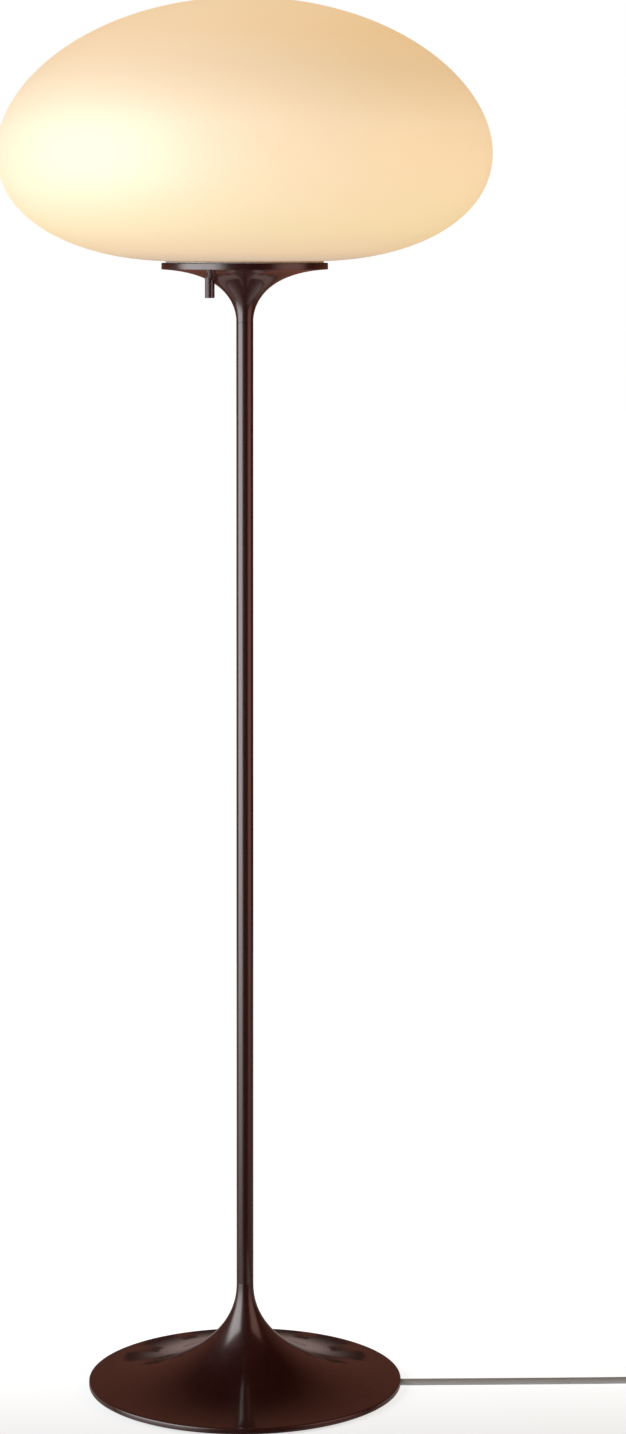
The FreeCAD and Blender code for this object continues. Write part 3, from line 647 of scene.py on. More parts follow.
class Maker:
    """A bmesh at work, and the finished object that it becomes."""

    def __init__(self, name: str) -> None:
        """Starts an empty mesh.

        Args:
            name: The piece's name.
        """
        self.name = name
        self.mesh = bmesh.new()

    def turn(self, section: Section, steps: int = 96, centre: Spot = (0.0, 0.0)) -> "Maker":
        """Turns a section about an upright axis.

        Args:
            section: The section. Its last corner joins its first.
            steps: How many stretches a full turn has.
            centre: The axis's place.

        Returns:
            The maker.
        """
        made = bmesh.new()
        points = [made.verts.new((radius, 0.0, height)) for radius, height, _ in section.corners]
        for first, second in zip(points, points[1:] + points[:1]):
            if max(first.co.x, second.co.x) > MERGE:
                made.edges.new((first, second))
        for size in sorted({corner[2] for corner in section.corners if corner[2]}):
            chosen = [point for point, corner in zip(points, section.corners) if corner[2] == size]
            rounded(made, chosen, size, CORNER_FACETS)
        spun(made, steps, merge=True)
        bmesh.ops.remove_doubles(made, verts=made.verts, dist=MERGE)
        bmesh.ops.recalc_face_normals(made, faces=made.faces)
        bmesh.ops.translate(made, verts=made.verts, vec=(*centre, 0.0))
        self.add(made)
        return self

    def add(self, made: bmesh.types.BMesh) -> None:
        """Takes another mesh in and frees it.

        Args:
            made: The mesh.
        """
        part = bpy.data.meshes.new("part")
        made.to_mesh(part)
        made.free()
        self.mesh.from_mesh(part)
        bpy.data.meshes.remove(part)

    def block(self, low: Vector, high: Vector, rounding: float = 0.0, segments: int = 3) -> "Maker":
        """Adds a box between two corners.

        Args:
            low: Its lowest corner.
            high: Its highest corner.
            rounding: How far its edges are rounded.
            segments: How many facets a rounded edge has.

        Returns:
            The maker.
        """
        made = bmesh.new()
        place = Matrix.Translation((low + high) / 2) @ Matrix.Diagonal((*(high - low), 1.0))
        bmesh.ops.create_cube(made, size=1.0, matrix=place)
        if rounding:
            rounded(made, made.edges[:], rounding, segments, "EDGES")
        self.add(made)
        return self

    def close(self) -> None:
        """Fills the open rims and turns the faces outwards."""
        bmesh.ops.holes_fill(self.mesh, edges=[edge for edge in self.mesh.edges if edge.is_boundary])
        bmesh.ops.recalc_face_normals(self.mesh, faces=self.mesh.faces)

    def done(self) -> bpy.types.Object:
        """Makes the object, smooth but for its sharp edges.

        Returns:
            The object, linked into the scene.
        """
        for face in self.mesh.faces:
            face.smooth = True
        for edge in self.mesh.edges:
            edge.smooth = not (edge.is_manifold and edge.calc_face_angle(0.0) > SHARP_ANGLE)
        mesh = bpy.data.meshes.new(self.name)
        self.mesh.to_mesh(mesh)
        self.mesh.free()
        made = bpy.data.objects.new(self.name, mesh)
        bpy.context.scene.collection.objects.link(made)
        return made


def bored(piece: bpy.types.Object, cutter: bpy.types.Object) -> bpy.types.Object:
    """Cuts one object out of another.

    Args:
        piece: What is cut.
        cutter: What it is cut with, which is then removed.

    Returns:
        The cut piece.
    """
    tool = piece.modifiers.new("bore", "BOOLEAN")
    tool.operation = "DIFFERENCE"
    tool.solver = "EXACT"
    tool.object = cutter
    evaluated = piece.evaluated_get(bpy.context.evaluated_depsgraph_get())
    cut = bpy.data.meshes.new_from_object(evaluated)
    piece.modifiers.remove(tool)
    bpy.data.objects.remove(cutter)
    name = piece.name
    bpy.data.objects.remove(piece)
    maker = Maker(name)
    maker.mesh.from_mesh(cut)
    bpy.data.meshes.remove(cut)
    return maker.done()


def thickened(piece: bpy.types.Object, thickness: float) -> bpy.types.Object:
    """Gives a sheet its thickness, to both sides.

    Args:
        piece: The sheet.
        thickness: Its thickness.

    Returns:
        The piece.
    """
    wall = piece.modifiers.new("wall", "SOLIDIFY")
    wall.thickness = thickness
    wall.offset = 0.0
    return piece


def settle(piece: bpy.types.Object, body: Body, slot: Slot, *nodes: str, finish: Finish | None = None) -> None:
    """Dresses a new piece, puts it on its body and lets it stand for its nodes.

    Args:
        piece: The piece.
        body: The body that it rides on.
        slot: Its slot.
        *nodes: The nodes that it stands for.
        finish: Its finish, the slot's own if None.
    """
    piece.data.materials.clear()
    piece.data.materials.append((finish or FINISHES[slot]).material())
    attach(piece, body.value)
    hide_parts(*nodes)
    log.info("%s rides on %s and stands for %s", piece.name, body.value, ", ".join(nodes) or "nothing")


def lathed(name: str, section: Section, steps: int, body: Body, slot: Slot, node: str,
           finish: Finish | None = None) -> None:
    """Turns a piece from one section and settles it.

    Args:
        name: The piece's name.
        section: Its section.
        steps: How many stretches a full turn has.
        body: The body that it rides on.
        slot: Its slot.
        node: The node that it stands for.
        finish: Its finish, the slot's own if None.
    """
    settle(Maker(name).turn(section, steps).done(), body, slot, node, finish=finish)


# ---------------------------------------------------------------- camera and cord


@dataclass
class PhotoCamera:
    """The photograph's camera: nearly level, low and far, with its view shifted down."""

    place: tuple[float, float, float] = (0.0027, -2.6877, 0.8834)
    pitch_down: float = 0.7
    yaw_right: float = 1.0597
    lens: float = 87.826
    shift_down: float = 0.304
    sensor: float = 36.0
    reach: float = 100.0

    def build(self) -> None:
        """Makes the camera the scene's own."""
        data = bpy.data.cameras.new("photo_camera")
        data.lens = self.lens
        data.sensor_width = self.sensor
        data.shift_y = -self.shift_down
        data.clip_end = self.reach
        camera = bpy.data.objects.new("photo_camera", data)
        camera.location = self.place
        camera.rotation_euler = (math.radians(90 - self.pitch_down), 0.0, -math.radians(self.yaw_right))
        bpy.context.scene.collection.objects.link(camera)
        bpy.context.scene.camera = camera


@dataclass
class Cord:
    """The mains cord from the rim to the plug, with the unseen length in a tied coil."""

    diameter: float = 0.005
    line_y: float = -0.0053
    start_x: float = 0.117
    rim_x: float = 0.1199
    coil_x: float = 0.348
    pitch: float = 0.0056
    turns: float = 10.25
    layer_turns: float = 2.5
    layers: int = 4
    coil_r: float = 0.0345
    coil_bottom: float = 0.0038
    points_per_turn: int = 24
    plug_z: float = 0.00685
    tail_end_y: float = 0.110
    sides: int = 18
    last_flat_x: float = 0.300
    first_raised_x: float = 0.325
    climb_turns: float = 0.5
    tail_top_y: float = 0.050
    tail_bend: Spot = (0.073, 0.0126)
    tail_low_y: float = 0.097

    @property
    def coil_y(self) -> float:
        """The coil's middle, front to back."""
        return self.line_y + self.coil_r

    @property
    def coil_top(self) -> float:
        """The height of the top layer."""
        return self.coil_bottom + (self.layers - 1) * self.pitch

    @property
    def tail_x(self) -> float:
        """The line of the cord's tail and of its plug."""
        return self.coil_x + self.coil_r + self.pitch * (self.turns - self.layers * self.layer_turns)

    def coil_point(self, turn: float) -> Vector:
        """A point of the coil, whose turns spiral in and out again and climb a layer at each reversal.

        Args:
            turn: How many turns from its start.

        Returns:
            The point.
        """
        height = self.coil_bottom
        for layer in range(1, self.layers):
            climbed = min(1.0, max(0.0, (turn - layer * self.layer_turns + self.climb_turns / 2)
                                   / self.climb_turns))
            height += self.pitch * climbed * climbed * (3 - 2 * climbed)
        phase = turn % (2 * self.layer_turns)
        inward = min(phase, 2 * self.layer_turns - phase)
        if turn > self.layers * self.layer_turns:
            inward = self.layers * self.layer_turns - turn
        radius = self.coil_r - self.pitch * inward
        angle = FULL_TURN * turn - math.pi / 2
        return Vector((self.coil_x + radius * math.cos(angle), self.coil_y + radius * math.sin(angle), height))

    def route(self) -> list[Vector]:
        """Plans the cord's control points, from the rim to the plug.

        Returns:
            The points.
        """
        run = ((self.start_x, self.diameter / 2), (self.last_flat_x, self.diameter / 2),
               (self.first_raised_x, self.coil_bottom), (self.coil_x - self.diameter, self.coil_bottom))
        steps = int(self.turns * self.points_per_turn)
        tail = ((self.coil_y + self.diameter, self.coil_top), (self.tail_top_y, self.coil_top), self.tail_bend,
                (self.tail_low_y, self.plug_z), (self.tail_end_y, self.plug_z))
        return ([Vector((x, self.line_y, z)) for x, z in run]
                + [self.coil_point(step / self.points_per_turn) for step in range(steps + 1)]
                + [Vector((self.tail_x, y, z)) for y, z in tail])

    def centreline(self) -> list[Vector]:
        """Reads the line down the middle of the cord off a smooth spline on its route.

        Returns:
            The line's points.
        """
        curve = bpy.data.curves.new("cord_route", "CURVE")
        curve.dimensions = "3D"
        curve.resolution_u = 5
        spline = curve.splines.new("NURBS")
        route = self.route()
        spline.points.add(len(route) - 1)
        for point, place in zip(spline.points, route):
            point.co = (*place, 1.0)
        spline.order_u = 3
        spline.use_endpoint_u = True
        holder = bpy.data.objects.new("cord_route", curve)
        bpy.context.scene.collection.objects.link(holder)
        wire = bpy.data.meshes.new_from_object(holder.evaluated_get(bpy.context.evaluated_depsgraph_get()))
        line = [vertex.co.copy() for vertex in wire.vertices]
        bpy.data.meshes.remove(wire)
        bpy.data.objects.remove(holder)
        return line

    def tube(self, line: list[Vector]) -> bpy.types.Object:
        """Rolls a flat sheet round the line, with a UV map of metres along and turns round.

        Args:
            line: The points that it follows.

        Returns:
            The cord's object.
        """
        heading = line[1] - line[0]
        swing = heading.to_track_quat("Z", "Y")
        places = []
        travelled = [0.0]
        for index, point in enumerate(line):
            onward = line[min(index + 1, len(line) - 1)] - line[max(index - 1, 0)]
            swing = heading.rotation_difference(onward) @ swing
            heading = onward
            places.append(Matrix.Translation(point) @ swing.to_matrix().to_4x4())
            travelled.append(travelled[-1] + (point - line[max(index - 1, 0)]).length)
        maker = Maker("mains_cord")
        mesh = maker.mesh
        bmesh.ops.create_grid(mesh, x_segments=len(line) - 1, y_segments=self.sides, size=0.5)
        layer = mesh.loops.layers.uv.new(CORD_UV)
        for vertex in mesh.verts:
            index = round((vertex.co.x + 0.5) * (len(line) - 1))
            turn = vertex.co.y + 0.5
            for loop in vertex.link_loops:
                loop[layer].uv = (travelled[index + 1], turn)
            around = Matrix.Rotation(FULL_TURN * turn, 4, "Z")
            vertex.co = places[index] @ around @ Vector((self.diameter / 2, 0.0, 0.0))
        bmesh.ops.remove_doubles(mesh, verts=mesh.verts, dist=self.diameter / 1000)
        maker.close()
        return maker.done()

    def build(self, with_pieces: list[bpy.types.Object]) -> None:
        """Args:
            with_pieces: The separate pieces on it. Not used.
        """
        line = self.centreline()
        piece = self.tube(line)
        settle(piece, Body.STAND, Slot.TEXTILE, "cord_run", "cord_coil", "cord_tail")


@dataclass
class CordTie:
    """Strap round the coil's turns, with its end pressed down on itself."""

    thickness: float = 0.0011
    corner: float = 0.0022
    tab_start: float = 0.003
    tab_flat: float = 0.008
    tab_length: float = 0.013
    tab_lift: float = 0.0005
    facets: int = 6
    steps_across: int = 4

    def build(self) -> bpy.types.Object:
        """Makes the strap.

        Returns:
            The strap's object.
        """
        low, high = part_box("cord_tie")
        half = self.thickness / 2
        maker = Maker("cord_strap")
        mesh = maker.mesh
        corners = [(low.x + half, low.z + half), (high.x - half, low.z + half),
                   (high.x - half, high.z - half), (low.x + half, high.z - half)]
        points = [mesh.verts.new((x, low.y, z)) for x, z in corners]
        chained(mesh, points, closed=True)
        rounded(mesh, points, self.corner, self.facets)
        self.widen(mesh, mesh.edges[:], high.y - low.y)
        tab = [(low.x + self.tab_start, high.z + half), (low.x + self.tab_flat, high.z + half),
               (low.x + self.tab_start + self.tab_length, high.z + half + self.tab_lift)]
        self.widen(mesh, chained(mesh, [mesh.verts.new((x, low.y, z)) for x, z in tab]), high.y - low.y)
        bmesh.ops.recalc_face_normals(mesh, faces=mesh.faces)
        piece = thickened(maker.done(), self.thickness)
        settle(piece, Body.STAND, Slot.STRAP, "cord_tie")
        return piece

    def widen(self, mesh: bmesh.types.BMesh, edges: list[bmesh.types.BMEdge], width: float) -> None:
        """Extrudes a line of edges across the strap.

        Args:
            mesh: The mesh.
            edges: The line.
            width: The strap's width.
        """
        for _ in range(self.steps_across):
            grown = bmesh.ops.extrude_edge_only(mesh, edges=edges)["geom"]
            fresh = only(grown, bmesh.types.BMVert)
            bmesh.ops.translate(mesh, verts=fresh, vec=(0.0, width / self.steps_across, 0.0))
            edges = [edge for edge in only(grown, bmesh.types.BMEdge) if all(end in fresh for end in edge.verts)]


@dataclass
class Plug:
    """Flat two-pin plug with its ribbed sleeve."""

    rounding: float = 0.003
    pin_r: float = 0.002
    pin_spacing: float = 0.0186
    insulation_length: float = 0.010
    tip_r: float = 0.0031
    root_r: float = 0.0052
    rib_count: int = 5
    rib_r: float = 0.0033
    rib_growth: float = 0.0004
    ribs_start: float = 0.003
    ribs_margin: float = 0.004
    nose: float = 0.006
    waist: Spot = (0.0085, 0.009)
    shoulder: float = 0.021
    facets: int = 6
    grip_count: int = 4
    grip_start: float = 0.013
    grip_pitch: float = 0.0032
    grip_reach: float = 0.0055
    grip_growth: float = 0.0014
    grip_width: float = 0.0012

    def build(self) -> list[bpy.types.Object]:
        """Makes the sleeve, the body and the pins.

        Returns:
            The plug's objects.
        """
        return [self.sleeve(), self.body(), self.pins(), self.pin_sleeves()]

    def lay_down(self, maker: Maker, x: float, z: float) -> None:
        """Tips a piece turned about the upright axis, so that up becomes +Y.

        Args:
            maker: The piece's maker.
            x: The plug's line.
            z: The height of its middle.
        """
        tipped = Matrix.Translation((x, 0.0, z)) @ Matrix.Rotation(-math.pi / 2, 4, "X")
        bmesh.ops.transform(maker.mesh, matrix=tipped, verts=maker.mesh.verts)

    def sleeve(self) -> bpy.types.Object:
        """Makes the tapered sleeve with its ribs.

        Returns:
            The sleeve's object.
        """
        low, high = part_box("plug_relief")
        middle = (low + high) / 2
        length = high.y - low.y
        section = Section(0.0, low.y).to(self.tip_r, low.y, 0.0004)
        pitch = (length - self.ribs_margin) / self.rib_count
        for index in range(self.rib_count):
            start = low.y + self.ribs_start + pitch * index
            wide = self.rib_r + self.rib_growth * index
            section.to(wide, start, 0.0003).to(wide - 0.0006, start + 0.0003, 0.0002)
            section.to(wide - 0.0005, start + 0.0013, 0.0002).to(wide + 0.0001, start + 0.0016, 0.0003)
        section.to(self.root_r, high.y).to(0.0, high.y)
        maker = Maker("plug_sleeve").turn(section, 40)
        self.lay_down(maker, middle.x, middle.z)
        piece = maker.done()
        settle(piece, Body.STAND, Slot.PLUG, "plug_relief")
        return piece

    def body(self) -> bpy.types.Object:
        """Makes the waisted body with grip ridges on its upper face.

        Returns:
            The body's object.
        """
        low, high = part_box("plug_body")
        middle = (low + high) / 2
        nose = self.nose
        waist, waist_y = self.waist[0], low.y + self.waist[1]
        shoulder = low.y + self.shoulder
        maker = Maker("plug_housing")
        mesh = maker.mesh
        outline = [(middle.x - nose, low.y), (middle.x + nose, low.y), (middle.x + waist, waist_y),
                   (high.x, shoulder), (high.x, high.y), (low.x, high.y), (low.x, shoulder),
                   (middle.x - waist, waist_y)]
        floor = mesh.faces.new([mesh.verts.new((x, y, low.z)) for x, y in outline])
        grown = bmesh.ops.extrude_face_region(mesh, geom=[floor])["geom"]
        bmesh.ops.translate(mesh, verts=only(grown, bmesh.types.BMVert), vec=(0.0, 0.0, high.z - low.z))
        bmesh.ops.recalc_face_normals(mesh, faces=mesh.faces)
        rounded(mesh, mesh.edges[:], self.rounding, self.facets, "EDGES", clamp=True)
        for index in range(self.grip_count):
            start = low.y + self.grip_start + self.grip_pitch * index
            reach = self.grip_reach + self.grip_growth * index
            maker.block(Vector((middle.x - reach, start, high.z - 0.0006)),
                        Vector((middle.x + reach, start + self.grip_width, high.z + 0.0005)), 0.0004)
        piece = maker.done()
        settle(piece, Body.STAND, Slot.PLUG, "plug_body")
        return piece

    def pin_section(self, start: float, end: float, radius: float) -> Section:
        """Section of a round bar with a softly domed end."""
        return Section(0.0, start).to(radius, start, 0.0002).to(radius, end, radius * 0.7).to(0.0, end)

    def both(self, name: str, start: float, end: float, radius: float) -> bpy.types.Object:
        """Makes a pair of bars along the two pins.

        Args:
            name: The piece's name.
            start: Where they start.
            end: Where they end.
            radius: Their radius.

        Returns:
            The pair's object.
        """
        low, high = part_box("plug_pins")
        middle = (low + high) / 2
        maker = Maker(name)
        for side in (-1, 1):
            maker.turn(self.pin_section(start, end, radius), 32, (side * self.pin_spacing / 2, 0.0))
        self.lay_down(maker, middle.x, middle.z)
        return maker.done()

    def pins(self) -> bpy.types.Object:
        """Makes the two metal pins.

        Returns:
            The pins' object.
        """
        low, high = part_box("plug_pins")
        piece = self.both("contact_pins", low.y, high.y, self.pin_r)
        settle(piece, Body.STAND, Slot.PINS, "plug_pins")
        return piece

    def pin_sleeves(self) -> bpy.types.Object:
        """Makes the dark insulation on the pins' roots.

        Returns:
            The insulation's object.
        """
        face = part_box("plug_body")[1].y
        piece = self.both("pin_insulation", face - 0.001, face + self.insulation_length, self.pin_r + 0.00008)
        settle(piece, Body.STAND, Slot.PLUG, finish=DARK_SLEEVE)
        return piece


# ---------------------------------------------------------------- stand


@dataclass
class Base:
    """Spun trumpet base with a thin rim."""

    stem_r: float = 0.00655
    seam_depth: float = 0.001
    rim_round: float = 0.001
    rim_top: float = 0.006
    inner_rim_r: float = 0.1186
    inner_rim_top: float = 0.0048
    neck_handle: float = 0.0346
    rim_handle: Spot = (0.059, 0.0088)
    inner_side: tuple[Spot, Spot, Spot] = ((0.0766, 0.0071), (0.0232, 0.0213), (0.0084, 0.0608))
    notch_reach: Span = (0.106, 0.122)
    notch_gap: float = 0.0003

    def section(self) -> Section:
        """Draws the shell's section, with its outer side from the seam down to the rim.

        Returns:
            The section.
        """
        low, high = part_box("base_shell")
        rim = high.y
        made = Section(BORE_R, high.z).to(self.stem_r, high.z, SEAM_ROUND)
        made.to(self.stem_r, high.z - self.seam_depth)
        made.curve((self.stem_r, self.neck_handle), self.rim_handle, (rim - self.rim_round, self.rim_top), 64)
        made.curve((rim - 0.00045, self.rim_top), (rim, self.rim_top - 0.00055), (rim, self.rim_top - 0.001), 6)
        made.to(rim, low.z, 0.0004).to(self.inner_rim_r, low.z).to(self.inner_rim_r, self.inner_rim_top)
        return made.curve(*self.inner_side, 32).to(BORE_R, self.inner_side[-1][1])

    def build(self, cord: Cord) -> None:
        """Makes the shell, notched for the cord.

        Args:
            cord: The cord that leaves through the notch.
        """
        piece = Maker("base_trumpet").turn(self.section(), 192).done()
        half = cord.diameter / 2 + self.notch_gap
        start, end = self.notch_reach
        notch = Maker("notch").block(Vector((start, cord.line_y - half, -0.002)),
                                     Vector((end, cord.line_y + half, half * 2 - self.notch_gap)), half * 0.95, 6)
        piece = bored(piece, notch.done())
        settle(piece, Body.STAND, Slot.LACQUER, "base_shell")


@dataclass
class Stem:
    """Long plain tube between the two trumpets."""

    steps: int = 96

    def build(self) -> None:
        """Makes the tube, its ends eased so that its seams show."""
        low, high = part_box("stem_tube")
        section = Section(BORE_R, low.z).to(high.x, low.z, SEAM_ROUND).to(high.x, high.z, SEAM_ROUND)
        lathed("stem", section.to(BORE_R, high.z), self.steps, Body.STAND, Slot.LACQUER, "stem_tube")


@dataclass
class Head:
    """Upper trumpet, the plate on it and the dimmer's peg."""

    edge_round: float = 0.0006
    seam_height: float = 0.0008
    neck_handle: float = 0.8294
    edge_handle: Spot = (0.0122, 0.8565)
    hollow_r: float = 0.044
    hollow_side: tuple[Spot, Spot, Spot] = ((0.0350, 0.8585), (0.0205, 0.8533), (0.0120, 0.8398))
    hollow_floor: Spot = (0.0109, 0.838)
    drill_foot: float = 0.830
    flutes: int = 16
    flute_depth: float = 0.0003
    flute_width: float = 0.42
    points_per_flute: int = 10
    peg_clearance: float = 0.00035

    def build(self) -> None:
        """Makes the three pieces."""
        self.trumpet()
        self.plate()
        self.peg()

    def peg_axis(self) -> tuple[float, float, float]:
        """The peg's place and radius."""
        low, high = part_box("dimmer_knob")
        return (low.x + high.x) / 2, (low.y + high.y) / 2, (high.y - low.y) / 2

    def trumpet(self) -> None:
        """Makes the trumpet, with the hole that the peg passes through."""
        low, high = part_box("head_flare")
        stem_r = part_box("stem_tube")[1].x
        section = Section(BORE_R, low.z).to(stem_r, low.z, SEAM_ROUND).to(stem_r, low.z + self.seam_height)
        section.curve((stem_r, self.neck_handle), self.edge_handle, (high.y, high.z), 56)
        section.to(self.hollow_r, high.z).curve(*self.hollow_side, 20)
        section.to(*self.hollow_floor).to(BORE_R, self.hollow_floor[1])
        piece = Maker("head_trumpet").turn(section, 128).done()
        x, y, radius = self.peg_axis()
        hole = radius + self.peg_clearance
        foot, head = self.drill_foot, high.z + 0.001
        drill = Section(0.0, foot).to(hole, foot).to(hole, head).to(0.0, head)
        piece = bored(piece, Maker("drill").turn(drill, 48, (x, y)).done())
        settle(piece, Body.STAND, Slot.LACQUER, "head_flare")

    def plate(self) -> None:
        """Makes the plate with its eased edges."""
        low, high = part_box("holder_plate")
        section = Section(BORE_R, low.z).to(high.y, low.z, self.edge_round)
        section.to(high.y, high.z, self.edge_round).to(BORE_R, high.z)
        lathed("shade_plate", section, 160, Body.STAND, Slot.LACQUER, "holder_plate")

    def peg(self) -> None:
        """Makes the fluted peg, its lower end eased."""
        low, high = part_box("dimmer_knob")
        x, y, radius = self.peg_axis()
        maker = Maker("dimmer_peg")
        mesh = maker.mesh
        count = self.flutes * self.points_per_flute
        ring = bmesh.ops.create_circle(mesh, cap_ends=False, segments=count, radius=radius,
                                       matrix=Matrix.Translation((0.0, 0.0, high.z)))["verts"]
        for vertex in ring:
            share = math.atan2(vertex.co.y, vertex.co.x) / FULL_TURN * self.flutes
            off = abs(share - round(share)) * 2 / self.flute_width
            depth = self.flute_depth * max(0.0, 1 - off * off)
            vertex.co.xy *= (radius - depth) / radius
        edges = mesh.edges[:]
        for height, inset in ((low.z + 0.0005, 0.0), (low.z + 0.0002, 0.00012), (low.z, 0.0004)):
            grown = bmesh.ops.extrude_edge_only(mesh, edges=edges)["geom"]
            edges = only(grown, bmesh.types.BMEdge)
            for vertex in {vertex for edge in edges for vertex in edge.verts}:
                vertex.co.z = height
                vertex.co.xy *= (radius - inset) / radius
        bmesh.ops.holes_fill(mesh, edges=mesh.edges)
        bmesh.ops.recalc_face_normals(mesh, faces=mesh.faces)
        bmesh.ops.translate(mesh, verts=mesh.verts, vec=(x, y, 0.0))
        piece = maker.done()
        settle(piece, Body.DIMMER, Slot.LACQUER, "dimmer_knob")


# ---------------------------------------------------------------- glass, holder and bulb


@dataclass
class Shade:
    """Blown opal glass on its small neck."""

    wall: float = 0.0035
    widest: float = 0.9483
    neck_r: float = 0.0575
    edge_r: Span = (0.0608, 0.0612)
    edge_rise: float = 0.0007
    outer_floor: Spot = (0.1355, 0.868)
    outer_floor_handle: float = 0.9004
    inner_floor: tuple[Spot, Spot] = ((0.1345, 0.8716), (0.0615, 0.8694))
    inner_floor_handle: float = 0.902
    neck_top: float = 0.8678
    crown: float = 0.588
    shoulder: float = 0.478

    def section(self) -> Section:
        """Draws the glass's section: the outside from the neck up, then the inside down again.

        Returns:
            The section.
        """
        low, high = glass_box()
        outer = high.y
        inner = outer - self.wall
        inner_top = high.z - self.wall
        rise = high.z - self.widest
        inner_rise = inner_top - self.widest
        made = Section(self.neck_r, low.z, 0.0004).to(self.edge_r[0], low.z, 0.0004)
        made.to(self.edge_r[1], low.z + self.edge_rise)
        made.curve(self.outer_floor, (outer, self.outer_floor_handle), (outer, self.widest), 48)
        made.curve((outer, self.widest + self.shoulder * rise), (self.crown * outer, high.z), (0.0, high.z), 48)
        made.to(0.0, inner_top)
        made.curve((self.crown * inner, inner_top), (inner, self.widest + self.shoulder * inner_rise),
                   (inner, self.widest), 32)
        made.curve((inner, self.inner_floor_handle), *self.inner_floor, 32)
        return made.to(self.neck_r, self.neck_top, 0.0006)

    def build(self) -> None:
        """Makes the glass. It shows itself only to the camera, so that its glow doesn't wash over the lacquer."""
        piece = Maker("opal_shade").turn(self.section(), 160).done()
        piece.visible_glossy = False
        piece.visible_diffuse = False
        settle(piece, Body.SHADE, Slot.OPAL, *GLASS_NODES)


@dataclass
class Lampholder:
    """The two moulded halves of the lampholder, the upper one ribbed for grip."""

    ribs: int = 40
    rib_height: float = 0.0005
    ribbed_r: float = 0.019
    steps_per_rib: int = 6

    def build(self) -> None:
        """Makes both halves."""
        self.lower()
        self.upper()

    def lower(self) -> None:
        """Makes the domed lower half."""
        low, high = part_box("socket_base")
        section = Section(BORE_R, low.z).to(0.0085, low.z, 0.0004)
        section.curve((0.0135, 0.9006), (0.0190, 0.9040), (high.x, 0.9100), 16)
        section.to(high.x, high.z - 0.004).to(high.x - 0.0006, high.z - 0.0035).to(high.x - 0.0006, high.z)
        section.to(0.0176, high.z).to(0.0176, 0.911).to(0.0085, 0.906).to(BORE_R, 0.906)
        lathed("holder_lower", section, 80, Body.STAND, Slot.WHITE_PLASTIC, "socket_base")

    def upper(self) -> None:
        """Makes the skirt with its ribs."""
        low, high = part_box("socket_shell")
        section = Section(0.0174, low.z).to(high.x, low.z, 0.0003).to(high.x, low.z + 0.004, 0.0003)
        section.to(high.x - 0.0006, low.z + 0.0045).to(high.x - 0.0006, high.z - 0.0065)
        section.to(high.x, high.z - 0.006, 0.0003).curve((high.x, 0.9555), (0.0192, high.z), (0.0175, high.z), 8)
        section.to(0.0147, high.z, 0.0005).to(0.0147, 0.952).to(0.0174, 0.950)
        maker = Maker("holder_upper").turn(section, self.ribs * self.steps_per_rib)
        for vertex in maker.mesh.verts:
            radius = vertex.co.xy.length
            if radius > self.ribbed_r and low.z + 0.005 < vertex.co.z + 0.001 < high.z - 0.005:
                turn = math.atan2(vertex.co.y, vertex.co.x) / FULL_TURN * self.ribs
                crest = 0.5 + 0.5 * math.cos(FULL_TURN * turn)
                vertex.co.xy *= (radius + self.rib_height * crest) / radius
        piece = maker.done()
        settle(piece, Body.STAND, Slot.WHITE_PLASTIC, "socket_shell")


